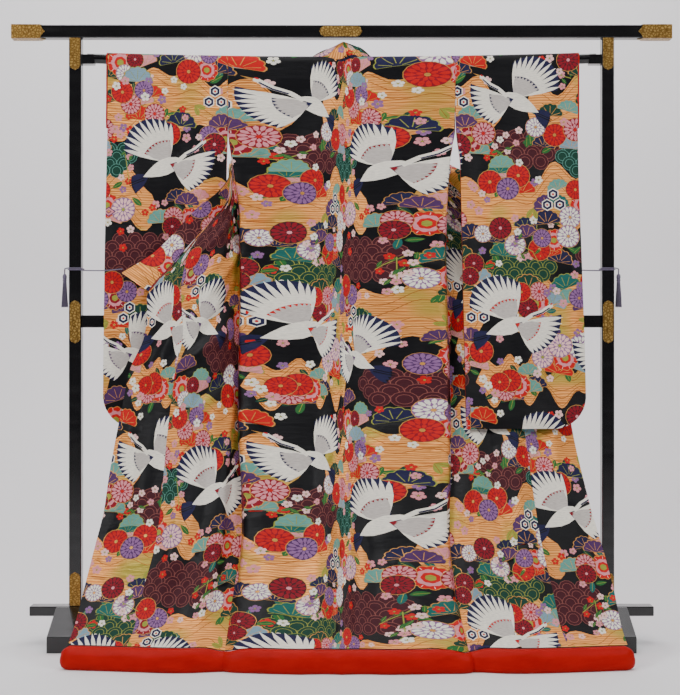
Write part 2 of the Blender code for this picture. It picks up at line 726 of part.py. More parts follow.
# Sleeves


def sleeve_side(word, which, z):
    return read(SLEEVE_COLUMNS, SLEEVE_ROWS, f"{word}_{which}", z)


def sleeve_foot(word, u):
    """The closed lower edge, from the inner corner round the outer one up to the mouth."""
    low = SLEEVE_LOW
    inner = sleeve_side(word, "in", low)
    outer = sleeve_side(word, "out", low)
    turn_x = outer - SLEEVE_CORNER
    if u <= 1 / 3:
        return inner + (turn_x - inner) * u * 3, low
    if u <= 2 / 3:
        angle = (u * 3 - 1) * math.pi / 2
        return (
            turn_x + SLEEVE_CORNER * math.sin(angle),
            low + SLEEVE_CORNER * (1 - math.cos(angle)),
        )
    z = low + SLEEVE_CORNER + (WRIST_LOW - low - SLEEVE_CORNER) * (u * 3 - 2)
    return sleeve_side(word, "out", z), z


def sleeve_plan(word, u, v):
    """A place on the flat sleeve: u from the body to the mouth, v down from the rod."""
    top = ROD_Z
    inner_top = sleeve_side(word, "in", top)
    outer_top = sleeve_side(word, "out", top)
    foot = sleeve_foot(word, u)
    inner_z = top + (SLEEVE_LOW - top) * v
    mouth_z = top + (WRIST_LOW - top) * v
    inner = (sleeve_side(word, "in", inner_z), inner_z)
    mouth = (sleeve_side(word, "out", mouth_z), mouth_z)
    found = []
    corners = (
        (inner_top, top), (outer_top, top), sleeve_foot(word, 0), sleeve_foot(word, 1)
    )
    for axis in (0, 1):
        upper = inner_top + (outer_top - inner_top) * u if axis == 0 else top
        flat = (
            (1 - u) * (1 - v) * corners[0][axis]
            + u * (1 - v) * corners[1][axis]
            + (1 - u) * v * corners[2][axis]
            + u * v * corners[3][axis]
        )
        found.append(
            (1 - v) * upper + v * foot[axis] + (1 - u) * inner[axis] + u * mouth[axis] - flat
        )
    return found


def sleeve_depth(word, x, z):
    """Middle of the hanging sleeve, between its front and rear sheets."""
    inner, outer = SLEEVE_LEAN[word]
    t = min(max((ROD_Z - z) / (ROD_Z - SLEEVE_LOW), 0.0), 1.0)
    across = min(max((x - 0.34) / 0.35, 0.0), 1.0)
    return (inner + (outer - inner) * across) * t ** SLEEVE_BEND[word]


def half_gap(z, near):
    """Half the space between the sheets: wide at the rod, closing at the lower edge."""
    gap = ROD_REACH + (SLEEVE_AIR - ROD_REACH) * min((ROD_Z - z) / 0.27, 1.0)
    start, end = SLEEVE_FOLD
    closed = min(max((near - end) / (start - end), 0.0), 1.0)
    return gap * closed + SLEEVE_AIR * 0.54 * (1 - closed)


def sleeve_ring(side, u):
    word = "left" if side < 0 else "right"
    top_x = side * sleeve_plan(word, u, 0)[0]
    front = []
    rear = []
    foot_x, foot_z = sleeve_foot(word, u)
    length = math.hypot(foot_x - abs(top_x), ROD_Z - foot_z)
    start, end = (1 - reach / length for reach in SLEEVE_FOLD)
    for v in [share * start for share in SLEEVE_DOWN] + [end]:
        x, z = sleeve_plan(word, u, v)
        gap = half_gap(z, (1 - v) * length)
        depth = sleeve_depth(word, x, z)
        z -= hang(x, z)
        front.append(Vector((side * x, forward(depth + gap), z)))
        rear.append(Vector((side * x, forward(depth - gap), z)))
    x, z = sleeve_foot(word, u)
    foot = Vector((side * x, forward(sleeve_depth(word, x, z)), z - hang(x, z)))
    down = (90, 67, 45, 22, 0)
    return [
        *[over_rod(top_x, turn, -1) for turn in down],
        *front,
        foot,
        *reversed(rear),
        *[over_rod(top_x, turn, 1) for turn in reversed(down[1:])],
    ]


def sleeve(side):
    word = "left" if side < 0 else "right"
    rings = [sleeve_ring(side, k / SLEEVE_STEPS) for k in range(SLEEVE_STEPS + 1)]
    count = len(rings[0])
    shape = bmesh.new()
    sheets = ([], [])
    for i, ring in enumerate(rings):
        lower = rings[max(i - 1, 0)]
        upper = rings[min(i + 1, SLEEVE_STEPS)]
        lines = ([], [])
        for j in range(count):
            along = upper[j] - lower[j]
            around = ring[(j + 1) % count] - ring[j - 1]
            face = along.cross(around).normalized() * -side
            if i in (0, SLEEVE_STEPS):
                face = Vector((0, face.y, face.z)).normalized()
            for line, way in zip(lines, (0.5, -0.5)):
                line.append(shape.verts.new(ring[j] + face * CLOTH * way))
        sheets[0].append(lines[0])
        sheets[1].append(lines[1])
    for sheet in sheets:
        for low, high in zip(sheet, sheet[1:]):
            for j in range(count):
                k = (j + 1) % count
                shape.faces.new((low[j], low[k], high[k], high[j]))
    for i in (0, SLEEVE_STEPS):
        for j in range(count):
            k = (j + 1) % count
            shape.faces.new((sheets[0][i][j], sheets[0][i][k], sheets[1][i][k], sheets[1][i][j]))
    from_bmesh(f"sleeve_{word}", shape, satin())
    mouth_edge(f"sleeve_edge_{word}", rings[-1], side)


def mouth_edge(name, ring, side):
    """The thin padded red edge round the open sleeve mouth."""
    middle = Vector((0, STAND_Y, ROD_Z - 0.008))
    path = []
    for p in ring:
        away = Vector((0, p.y - middle.y, max(p.z - middle.z, 0.0)))
        grown = away.normalized() * 0.0009 if p.z > ROD_Z - 0.03 else Vector((0, 0, 0))
        path.append(p + grown + Vector((side * (MOUTH_ROLL + GAP), 0, 0)))
    tube_round(name, path, MOUTH_ROLL, 6, lining(), closed=True)


def tube_round(name, path, radius, sides, finish, closed=False):
    """A tube along a path that lies in a plane square to X."""
    shape = bmesh.new()
    rings = []
    count = len(path)
    for i, point in enumerate(path):
        along = (path[(i + 1) % count] - path[i - 1]).normalized()
        across = Vector((1, 0, 0))
        normal = across.cross(along).normalized()
        ring = []
        for k in range(sides):
            angle = 2 * math.pi * (k + 0.5) / sides
            offset = normal * math.cos(angle) + across * math.sin(angle)
            ring.append(shape.verts.new(point + offset * radius))
        rings.append(ring)
    last = count if closed else count - 1
    for i in range(last):
        low = rings[i]
        high = rings[(i + 1) % count]
        for k in range(sides):
            n = (k + 1) % sides
            shape.faces.new((low[k], low[n], high[n], high[k]))
    return from_bmesh(name, shape, finish)


# Hem roll

def roll(name, path, start_normal, end_normal, tip):
    """A padded roll under the hem; tip says which end tapers, or None."""
    rings = []
    for i, point in enumerate(path):
        along = (path[min(i + 1, len(path) - 1)] - path[max(i - 1, 0)]).normalized()
        out = Vector((along.y, -along.x, 0))
        if i == 0 and start_normal:
            out = start_normal
        if i == len(path) - 1 and end_normal:
            out = end_normal
        if out.y > 0:
            out = -out
        rings.append(roll_ring(point, out, 1.0))
    if tip:
        last = path[-1]
        along = (path[-1] - path[-2]).normalized()
        out = Vector((along.y, -along.x, 0))
        if out.y > 0:
            out = -out
        for reach, size in ((0.010, 0.80), (0.018, 0.52), (0.022, 0.22)):
            rings.append(roll_ring(last + along * reach, out, size))
    from_grid(name, rings, lining(), True)


def roll_ring(point, out, size):
    top = hem_height(point.x) - GAP - 0.0001
    pinch = 1 - 8.0 * hem_dip(point.x)
    rest = 0.020 * (1 - size)
    ring = []
    for offset, share in ROLL_SECTION:
        height = rest + top * share * size
        ring.append(point + out * offset * pinch * size + Vector((0, 0, height)))
    return ring


def hem_rolls(hems):
    """Three stretches: under each front and its overlap panel, and under the back."""
    lines = {}
    for side, (back, front) in hems.items():
        lines[side] = tuple([Vector((p.x, p.y, 0)) for p in line] for line in (back, front))
    normals = []
    for side in (-1, 1):
        back, front = lines[side]
        both = (front[1] - front[0]).normalized() + (back[-1] - back[-2]).normalized()
        out = Vector((both.y, -both.x, 0)).normalized()
        normals.append(out if out.y < 0 else -out)
    middle = [*reversed(lines[-1][0]), *lines[1][0][1:]]
    left, right = lines[-1][1], lines[1][1]
    gap = Vector((GAP, 0, 0))
    left[0] = left[0] - gap
    right[0] = right[0] + gap
    roll("hem_roll_back", middle, normals[0], normals[1], None)
    roll("hem_roll_left", left, normals[0], None, True)
    roll("hem_roll_right", right, normals[1], None, True)


# Ties

def cord(name, route, radius):
    """A tube with filled ends through a route's points."""
    data = bpy.data.curves.new(name, "CURVE")
    data.dimensions = "3D"
    data.bevel_depth = radius
    data.bevel_resolution = 1
    data.use_fill_caps = True
    line = data.splines.new("POLY")
    line.points.add(len(route) - 1)
    for point, at in zip(line.points, route):
        point.co = (*at, 1.0)
    data.materials.append(silk_cord())
    made = bpy.data.objects.new(name, data)
    bpy.context.scene.collection.objects.link(made)
    return made


def round_post():
    """One and a quarter turns round the right post: x, depth and height."""
    radius = EDGE + TIE_RADIUS + TIE_LOOSE
    half_x = POST_WIDTH / 2 - EDGE
    half_y = POST_DEPTH / 2 - EDGE
    corners = ((-1, 1, 180), (1, 1, 90), (1, -1, 0), (-1, -1, -90), (-1, 1, -180), (1, 1, -270))
    found = []
    for k, (x, y, start) in enumerate(corners):
        for turn in (0, 45, 90):
            angle = math.radians(start - turn)
            found.append((
                POST_X + x * half_x + radius * math.cos(angle),
                y * half_y + radius * math.sin(angle),
                TIE_Z + TIE_RISE * (k + turn / 90 - 0.5) / 4,
            ))
    return found


def tie_route(side):
    """From the collar's tip to the post, round it, ending over the tassel."""
    start = TIE_STARTS["left" if side < 0 else "right"]
    end = (
        (TASSEL_X - 0.0020, 0.0105, TIE_Z + 0.0045),
        (TASSEL_X, 0.0065, TIE_Z + 0.0005),
        (TASSEL_X, TASSEL_DEPTH, TIE_Z - 0.0060),
        (TASSEL_X, TASSEL_DEPTH, TASSEL_TOP + GAP),
    )
    points = spline(start, 7)[:-1] + [Vector(p) for p in (start[-1], *round_post()[1:-1], *end)]
    return [Vector((side * p.x, forward(p.y), p.z)) for p in points]


def tassel(side):
    """A bound head whose underside runs out into separate strands."""
    word = "left" if side < 0 else "right"
    cells = TASSEL_CELLS
    shape = bmesh.new()
    half = TASSEL_WIDTH / 2
    neck = half * 0.62
    levels = ((0.0, 0.30), (0.004, 0.62), (0.012, 0.66), (0.017, 0.55), (0.022, 0.62))
    middle = Vector((side * TASSEL_X, forward(TASSEL_DEPTH), 0))

    def place(a, b, width, z):
        x, y = a * 2 - 1, b * 2 - 1
        round_x = x * math.sqrt(1 - y * y / 2)
        round_y = y * math.sqrt(1 - x * x / 2)
        return Vector((middle.x + round_x * width, middle.y + round_y * width, z))

    def border():
        steps = [i / cells for i in range(cells)]
        return (
            [(a, 0.0) for a in steps]
            + [(1.0, a) for a in steps]
            + [(1 - a, 1.0) for a in steps]
            + [(0.0, 1 - a) for a in steps]
        )

    rings = []
    for drop, width in levels:
        z = TASSEL_TOP - drop
        rings.append([shape.verts.new(place(a, b, half * width, z)) for a, b in border()])
    shape.faces.new(rings[0])
    for low, high in zip(rings, rings[1:]):
        for i in range(len(low)):
            j = (i + 1) % len(low)
            shape.faces.new((low[i], low[j], high[j], high[i]))
    known = dict(zip([(round(a, 4), round(b, 4)) for a, b in border()], rings[-1]))
    base = TASSEL_TOP - levels[-1][0]

    def corner(i, j):
        key = (round(i / cells, 4), round(j / cells, 4))
        if key not in known:
            known[key] = shape.verts.new(place(i / cells, j / cells, neck, base))
        return known[key]

    cells_made = []
    for i in range(cells):
        for j in range(cells):
            quad = (corner(i, j), corner(i + 1, j), corner(i + 1, j + 1), corner(i, j + 1))
            cells_made.append(shape.faces.new(quad))
    bmesh.ops.recalc_face_normals(shape, faces=shape.faces)
    bmesh.ops.inset_individual(shape, faces=cells_made, thickness=0.0002)
    for index, face in enumerate(cells_made):
        centre = face.calc_center_median()
        outward = Vector((centre.x - middle.x, centre.y - middle.y, 0))
        for share, spread in ((0.55, 0.34), (1.0, 0.52)):
            grown = bmesh.ops.extrude_discrete_faces(shape, faces=[face])
            face = grown["faces"][0]
            length = TASSEL_LENGTH - levels[-1][0] - 0.0022 * (index * 7 % 5)
            target = centre + outward * spread - Vector((0, 0, length * share))
            now = face.calc_center_median()
            for vert in face.verts:
                vert.co = target + (vert.co - now) * 0.97
    from_bmesh(f"tassel_{word}", shape, silk_cord())


# Stand

def block(name, low, high, finish, edge=EDGE):
    """A bar with softened edges between two corners."""
    shape = bmesh.new()
    bmesh.ops.create_cube(shape, size=1.0)
    size = Vector(high) - Vector(low)
    middle = (Vector(high) + Vector(low)) / 2
    for vert in shape.verts:
        vert.co = Vector((vert.co.x * size.x, vert.co.y * size.y, vert.co.z * size.z)) + middle
    bmesh.ops.bevel(shape, geom=shape.edges[:], offset=edge, segments=2, profile=0.5,
                    affect="EDGES")
    return from_bmesh(name, shape, finish)


def extruded(name, outline, low_x, high_x, finish, edge=0.0):
    """A profile in the plane square to X, given as (y, z), drawn out along X."""
    shape = bmesh.new()
    ends = []
    for x in (low_x, high_x):
        ends.append([shape.verts.new((x, y, z)) for y, z in outline])
    count = len(outline)
    for i in range(count):
        j = (i + 1) % count
        shape.faces.new((ends[0][i], ends[0][j], ends[1][j], ends[1][i]))
    for end in ends:
        shape.faces.new(end)
    if edge:
        bmesh.ops.recalc_face_normals(shape, faces=shape.faces)
        sharp = [e for e in shape.edges if e.calc_face_angle(0) > math.radians(12)
                 and all(v.co.z > edge for v in e.verts)]
        bmesh.ops.bevel(shape, geom=sharp, offset=edge, segments=2, profile=0.5,
                        affect="EDGES")
    return from_bmesh(name, shape, finish)


def stand():
    y = STAND_Y
    block("beam", (-BEAM_HALF, y - BEAM_DEPTH / 2, BEAM_LOW),
          (BEAM_HALF, y + BEAM_DEPTH / 2, BEAM_TOP), lacquer())
    block("base_bar", (-BAR_HALF, y - BAR_DEPTH / 2, BAR_LOW),
          (BAR_HALF, y + BAR_DEPTH / 2, BAR_TOP), lacquer())
    inner = POST_X - POST_WIDTH / 2 - GAP
    block("middle_rail", (-inner, y - RAIL_DEPTH / 2, RAIL_LOW),
          (inner, y + RAIL_DEPTH / 2, RAIL_TOP), lacquer(), 0.002)
    for side, word in ((-1, "left"), (1, "right")):
        x = side * POST_X
        block(f"post_{word}", (x - POST_WIDTH / 2, y - POST_DEPTH / 2, BAR_TOP + GAP),
              (x + POST_WIDTH / 2, y + POST_DEPTH / 2, BEAM_LOW - GAP), lacquer())
        foot(word, x)
        cradle(word, side)
    rod()


def foot(word, x):
    """A foot with sloping shoulders, notched across for the base bar."""
    notch = BAR_DEPTH / 2 + GAP
    floor = BAR_LOW - GAP
    half = [
        (FOOT_HALF, 0.0), (FOOT_HALF, FOOT_END), (FOOT_FLAT, FOOT_TOP),
        (notch, FOOT_TOP), (notch, floor),
    ]
    outline = [(STAND_Y + a, z) for a, z in half]
    outline += [(STAND_Y - a, z) for a, z in reversed(half)]
    extruded(f"foot_{word}", outline, x - FOOT_WIDTH / 2, x + FOOT_WIDTH / 2, lacquer(), 0.002)


def rod():
    """The hanging rod, a flattened round bar that sags a little under the cloth."""
    rings = []
    stations = 25
    for k in range(stations):
        x = -ROD_HALF + 2 * ROD_HALF * k / (stations - 1)
        ring = []
        for n in range(12):
            angle = 2 * math.pi * (n + 0.5) / 12
            ring.append(Vector((
                x,
                STAND_Y + ROD_DEPTH / 2 * math.cos(angle),
                ROD_Z - sag(x) + ROD_HEIGHT / 2 * math.sin(angle),
            )))
        rings.append(ring)
    from_grid("rod", rings, lacquer(), True)


def cradle(word, side):
    """The bracket on each post's inner face that the rod's end drops into."""
    inside = ROD_DEPTH / 2 + 0.0008
    outside = inside + CRADLE_WALL
    floor = ROD_Z - ROD_HEIGHT / 2 - GAP
    low = floor - CRADLE_WALL
    top = ROD_Z + ROD_HEIGHT / 2 - 0.005
    outline = [
        (STAND_Y + a, z)
        for a, z in (
            (-outside, low), (outside, low), (outside, top), (inside, top),
            (inside, floor), (-inside, floor), (-inside, top), (-outside, top),
        )
    ]
    post = POST_X - POST_WIDTH / 2 - GAP
    ends = sorted((side * post, side * (post - CRADLE_LENGTH)))
    extruded(f"cradle_{word}", outline, ends[0], ends[1], lacquer())


# Gold fittings, front and rear

def plate(name, ends, points, half_width, place):
    """A thin gold plate; points says which ends are pointed, place sets it on its bar."""
    low, high = ends
    outline = []
    for end, sign, pointed in ((low, -1, points[0]), (high, 1, points[1])):
        shoulder = end - sign * (POINT if pointed else 0.0)
        if pointed:
            side = [(across * half_width, shoulder + sign * along * POINT)
                    for across, along in OGEE]
        else:
            side = [(half_width, shoulder)]
        mirrored = [(-a, b) for a, b in reversed(side) if a > 0]
        run = side + mirrored
        outline += run if sign > 0 else list(reversed(run))
    shape = bmesh.new()
    layers = []
    for height in (0.0, PLATE):
        layers.append([shape.verts.new(place(a, b, height)) for a, b in outline])
    count = len(outline)
    for i in range(count):
        j = (i + 1) % count
        shape.faces.new((layers[0][i], layers[0][j], layers[1][j], layers[1][i]))
    for layer in layers:
        shape.faces.new(layer)
    return from_bmesh(name, shape, gold())


def fittings():
    for way, face in ((-1, "front"), (1, "rear")):
        post_y = STAND_Y + way * (POST_DEPTH / 2 + GAP)
        beam_y = STAND_Y + way * (BEAM_DEPTH / 2 + GAP)
        middle = (BEAM_LOW + BEAM_TOP) / 2
        plate(f"beam_plate_{face}", BEAM_PLATE, (True, True), PLATE_WIDTH / 2,
              lambda a, b, h, y=beam_y, w=way: Vector((b, y + w * h, middle + a)))
        for side, word in ((-1, "left"), (1, "right")):
            def on_post(a, b, h, x=side * POST_X, y=post_y, w=way):
                return Vector((x + a, y + w * h, b))
            plate(f"post_top_plate_{word}_{face}", TOP_PLATE, (True, False),
                  PLATE_WIDTH / 2, on_post)
            plate(f"post_mid_plate_{word}_{face}", MID_PLATE, (True, True),
                  PLATE_WIDTH / 2, on_post)
            plate(f"post_base_plate_{word}_{face}", BASE_PLATE, (False, True),
                  PLATE_WIDTH / 2, on_post)
    for side, word in ((-1, "left"), (1, "right")):
        beam_cap(word, side)


def beam_cap(word, side):
    """A gold cap over the beam's end, with a pointed edge on each of its four faces."""
    middle = (BEAM_LOW + BEAM_TOP) / 2
    half_y = BEAM_DEPTH / 2
    half_z = (BEAM_TOP - BEAM_LOW) / 2
    outline = []
    for across, up in ((1, -1), (1, 1), (-1, 1), (-1, -1)):
        nxt = (-up, across)
        for k in range(6):
            t = k / 6
            y = across + (nxt[0] - across) * t
            z = up + (nxt[1] - up) * t
            outline.append((y, z, 1 - abs(2 * t - 1)))
    shape = bmesh.new()
    skins = []
    for grow, end in ((GAP, BEAM_HALF + GAP), (GAP + PLATE, BEAM_HALF + GAP + PLATE)):
        rings = []
        for rim in (True, False):
            ring = []
            for y, z, peak in outline:
                pointed = POINT * (1.15 * peak**1.6)
                x = BEAM_HALF - CAP_LENGTH + POINT - pointed if rim else end
                ring.append(shape.verts.new((
                    side * x,
                    STAND_Y + y * (half_y + grow),
                    middle + z * (half_z + grow),
                )))
            rings.append(ring)
        skins.append(rings)
    count = len(outline)
    for rings in skins:
        for i in range(count):
            j = (i + 1) % count
            shape.faces.new((rings[0][i], rings[0][j], rings[1][j], rings[1][i]))
        shape.faces.new(rings[1])
    for i in range(count):
        j = (i + 1) % count
        shape.faces.new((skins[0][0][i], skins[0][0][j], skins[1][0][j], skins[1][0][i]))
    from_bmesh(f"beam_cap_{word}", shape, gold())


clear_scene()
stand()
fittings()
garment()
collar_neck()
for each in (-1, 1):
    sleeve(each)
    tassel(each)
    cord("tie_left" if each < 0 else "tie_right", tie_route(each), TIE_RADIUS)
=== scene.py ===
"""Looks of the uchikake: figured satin with creases, red lining, padded hem, lacquer and gilt.

Metres, +Z up, in the frame's own axes. The kimono's back faces -Y, toward the camera.
"""

import bisect
import math
import random

import bpy
import bmesh
import numpy as np
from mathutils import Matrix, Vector, noise
from mathutils.geometry import delaunay_2d_cdt


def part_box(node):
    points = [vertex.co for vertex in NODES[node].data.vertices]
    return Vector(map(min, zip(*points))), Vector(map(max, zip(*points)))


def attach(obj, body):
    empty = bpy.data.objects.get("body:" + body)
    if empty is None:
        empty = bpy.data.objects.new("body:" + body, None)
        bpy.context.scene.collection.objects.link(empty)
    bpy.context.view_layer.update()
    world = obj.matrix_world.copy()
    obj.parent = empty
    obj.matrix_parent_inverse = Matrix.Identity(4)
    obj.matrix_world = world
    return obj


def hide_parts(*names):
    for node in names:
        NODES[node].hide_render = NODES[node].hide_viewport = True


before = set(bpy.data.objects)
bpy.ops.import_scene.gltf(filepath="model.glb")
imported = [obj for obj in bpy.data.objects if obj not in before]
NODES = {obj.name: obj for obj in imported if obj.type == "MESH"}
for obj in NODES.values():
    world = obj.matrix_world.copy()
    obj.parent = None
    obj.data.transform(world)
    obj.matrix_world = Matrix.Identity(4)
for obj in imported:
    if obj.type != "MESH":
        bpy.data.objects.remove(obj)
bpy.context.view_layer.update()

# Camera, read off the photograph of 680 x 695 pixels
PHOTO_HIGH = 695
FOCAL_PX = 1576.8
CENTRE_PX = (341.6, 350.0)     # where the camera's axis meets the picture
FRAME_CENTRE = (340.0, 347.5)
DISTANCE = 4.62                # in front of the stand's middle plane
EYE_Z = 0.8544

# Cloth and stand, as in the part
CLOTH = 0.0030
GAP = 0.0003
HEM_Z = 0.0603
SHOULDER_X = 0.332
SIDE_LINE = 0.0006
NECK_HALF = 0.080
SEAM_TOP = 1.38
BACK_TURN = 0.0012
BACK_DROOP = 0.026
SEAM_PINCHES = (-0.312, 0.335)
PINCH = 0.012
ROD_HALF = 0.7445
ROD_DEPTH = 0.024
ROD_HEIGHT = 0.029
ROD_Z = 1.7085
ROD_SAG = 0.0125
ROD_CLEAR = 0.0008
ROD_REACH = ROD_DEPTH / 2 + ROD_CLEAR + CLOTH / 2
ROLL_FRONT = 0.4805
FOOT_HALF = 0.180
ROLL_SECTION = (
    (-0.0140, 0.00), (0.0140, 0.00), (0.0200, 0.12), (0.0225, 0.36), (0.0205, 0.66),
    (0.0120, 0.91), (0.0034, 1.00), (-0.0034, 1.00), (-0.0120, 0.90), (-0.0195, 0.62),
    (-0.0210, 0.34), (-0.0190, 0.12),
)
STAND_Y = (ROLL_FRONT - FOOT_HALF) / 2
SLEEVE_LOW = 0.629
SLEEVE_CORNER = 0.095
WRIST_LOW = 1.508
SLEEVE_AIR = 0.0065
SLEEVE_FOLD = (0.035, 0.009)
SLEEVE_LEAN = {"left": (0.045, 0.045), "right": (0.131, 0.091)}
SLEEVE_BEND = {"left": 1.0, "right": 1.6}
MOUTH_ROLL = 0.0022
COLLAR_FIRST = 11     # row of the fronts at which the collar starts
COLLAR_PEAKS = {"left": (0.036, 1.736), "right": (0.048, 1.742)}
COLLAR_CREST = 1.757

# Edges and depth of the back, a row for each height
BACK_COLUMNS = ("z", "left", "right", "depth", "step")
BACK_ROWS = (
    (0.060, 0.2810, 0.3240, 0.458, 0.016),
    (0.110, 0.2800, 0.3140, 0.392, 0.018),
    (0.200, 0.2770, 0.3000, 0.326, 0.022),
    (0.300, 0.2700, 0.2925, 0.270, 0.026),
    (0.400, 0.2705, 0.2930, 0.223, 0.028),
    (0.500, 0.2760, 0.2985, 0.178, 0.030),
    (0.600, 0.2860, 0.3020, 0.142, 0.030),
    (0.700, 0.2880, 0.3035, 0.110, 0.028),
    (0.850, 0.2895, 0.3020, 0.077, 0.024),
    (1.000, 0.2890, 0.2995, 0.055, 0.018),
    (1.120, 0.2895, 0.2990, 0.040, 0.012),
    (1.250, 0.2930, 0.3030, 0.029, 0.006),
    (1.390, 0.3130, 0.3110, 0.021, 0.002),
    (1.500, 0.3290, 0.3265, 0.0175, 0.0),
    (1.600, 0.3302, 0.3302, 0.0155, 0.0),
    (1.700, 0.3302, 0.3302, 0.0143, 0.0),
)

# Each front from its side seam (the back's edge) through a fold to its free edge.
# fold, turn and swing are places along the row; edge is the free edge or the collar seam.
FRONT_COLUMNS = (
    "z", "fold_x", "fold_d", "turn_x", "turn_d", "swing_x", "swing_d",
    "edge_x", "edge_d", "edge_z", "okumi",
)
LEFT_ROWS = (
    (0.060, 0.340, 0.424, 0.440, 0.440, 0.590, 0.418, 0.7330, 0.398, 0.060, 0.62),
    (0.110, 0.330, 0.366, 0.420, 0.392, 0.575, 0.374, 0.7215, 0.356, 0.110, 0.61),
    (0.200, 0.322, 0.298, 0.405, 0.335, 0.555, 0.318, 0.7050, 0.300, 0.200, 0.61),
    (0.300, 0.314, 0.242, 0.395, 0.288, 0.535, 0.270, 0.6860, 0.248, 0.300, 0.60),
    (0.400, 0.310, 0.198, 0.385, 0.248, 0.520, 0.228, 0.6660, 0.204, 0.400, 0.60),
    (0.500, 0.308, 0.154, 0.380, 0.208, 0.508, 0.194, 0.6560, 0.168, 0.500, 0.60),
    (0.600, 0.309, 0.118, 0.375, 0.176, 0.495, 0.166, 0.6420, 0.138, 0.600, 0.60),
    (0.700, 0.309, 0.088, 0.370, 0.148, 0.480, 0.146, 0.6250, 0.114, 0.700, 0.60),
    (0.800, 0.308, 0.062, 0.365, 0.128, 0.465, 0.132, 0.6060, 0.096, 0.800, 0.60),
    (0.890, 0.306, 0.044, 0.360, 0.112, 0.450, 0.122, 0.5690, 0.086, 0.885, 0.61),
    (0.985, 0.304, 0.032, 0.355, 0.100, 0.435, 0.112, 0.5590, 0.080, 0.965, 0.65),
    (1.070, 0.302, 0.012, 0.350, 0.088, 0.415, 0.104, 0.5560, 0.080, 1.024, 0.70),
    (1.130, 0.301, 0.002, 0.345, 0.078, 0.395, 0.094, 0.4960, 0.079, 1.096, 0.82),
    (1.190, 0.301, -0.006, 0.338, 0.066, 0.370, 0.082, 0.4380, 0.076, 1.160, 0.93),
    (1.250, 0.302, 0.010, 0.326, 0.040, 0.350, 0.064, 0.3800, 0.070, 1.226, 0.985),
    (1.310, 0.308, 0.021, 0.315, 0.029, 0.3235, 0.041, 0.3360, 0.056, 1.284, 1.0),
    (1.370, 0.3155, 0.0165, 0.3185, 0.0185, 0.3215, 0.022, 0.3245, 0.026, 1.352, 1.0),
    (1.430, 0.320, 0.004, 0.3195, -0.004, 0.319, -0.012, 0.3180, -0.020, 1.404, 1.0),
    (1.465, 0.320, -0.008, 0.314, -0.020, 0.307, -0.033, 0.3000, -0.045, 1.438, 1.0),
    (1.500, 0.313, -0.016, 0.292, -0.030, 0.266, -0.042, 0.2420, -0.050, 1.476, 1.0),
    (1.570, 0.310, -0.021, 0.260, -0.036, 0.205, -0.038, 0.1600, -0.036, 1.556, 1.0),
    (1.640, 0.305, -0.017, 0.240, -0.026, 0.170, -0.029, 0.1150, -0.028, 1.636, 1.0),
    (1.700, 0.290, -0.0139, 0.225, -0.0139, 0.150, -0.0139, 0.0850, -0.0139, 1.700, 1.0),
)
RIGHT_ROWS = (
    (0.060, 0.372, 0.430, 0.470, 0.446, 0.620, 0.428, 0.7640, 0.402, 0.060, 0.62),
    (0.110, 0.360, 0.368, 0.460, 0.388, 0.610, 0.372, 0.7560, 0.350, 0.110, 0.61),
    (0.200, 0.346, 0.300, 0.445, 0.322, 0.595, 0.306, 0.7470, 0.286, 0.200, 0.61),
    (0.300, 0.336, 0.242, 0.435, 0.264, 0.580, 0.248, 0.7280, 0.222, 0.300, 0.60),
    (0.400, 0.334, 0.194, 0.430, 0.214, 0.565, 0.194, 0.7060, 0.164, 0.400, 0.60),
    (0.500, 0.336, 0.148, 0.425, 0.166, 0.552, 0.146, 0.6865, 0.116, 0.500, 0.60),
    (0.600, 0.338, 0.108, 0.420, 0.120, 0.540, 0.100, 0.6690, 0.074, 0.600, 0.60),
    (0.700, 0.338, 0.076, 0.415, 0.082, 0.530, 0.068, 0.6560, 0.052, 0.700, 0.60),
    (0.800, 0.336, 0.052, 0.410, 0.056, 0.520, 0.048, 0.6470, 0.038, 0.800, 0.60),
    (0.890, 0.332, 0.036, 0.405, 0.040, 0.510, 0.036, 0.6410, 0.031, 0.890, 0.60),
    (0.985, 0.324, 0.027, 0.395, 0.028, 0.495, 0.027, 0.6330, 0.027, 0.975, 0.65),
    (1.070, 0.304, 0.014, 0.372, -0.006, 0.470, -0.004, 0.6080, 0.004, 1.045, 0.72),
    (1.130, 0.292, 0.000, 0.352, -0.030, 0.440, -0.030, 0.5520, -0.020, 1.100, 0.82),
    (1.190, 0.284, -0.006, 0.334, -0.044, 0.404, -0.046, 0.4940, -0.038, 1.160, 0.93),
    (1.250, 0.276, -0.010, 0.312, -0.050, 0.366, -0.056, 0.4340, -0.050, 1.226, 0.985),
    (1.310, 0.270, -0.012, 0.290, -0.052, 0.330, -0.062, 0.3780, -0.058, 1.290, 1.0),
    (1.370, 0.268, -0.012, 0.272, -0.048, 0.298, -0.062, 0.3280, -0.062, 1.354, 1.0),
    (1.430, 0.276, -0.014, 0.258, -0.036, 0.264, -0.052, 0.2760, -0.064, 1.416, 1.0),
    (1.465, 0.290, -0.016, 0.264, -0.034, 0.254, -0.048, 0.2510, -0.062, 1.454, 1.0),
    (1.500, 0.300, -0.020, 0.262, -0.034, 0.242, -0.048, 0.2260, -0.054, 1.490, 1.0),
    (1.570, 0.306, -0.020, 0.256, -0.032, 0.212, -0.040, 0.1720, -0.042, 1.562, 1.0),
    (1.640, 0.304, -0.017, 0.240, -0.026, 0.172, -0.029, 0.1210, -0.028, 1.638, 1.0),
    (1.700, 0.290, -0.0139, 0.225, -0.0139, 0.150, -0.0139, 0.0850, -0.0139, 1.700, 1.0),
)

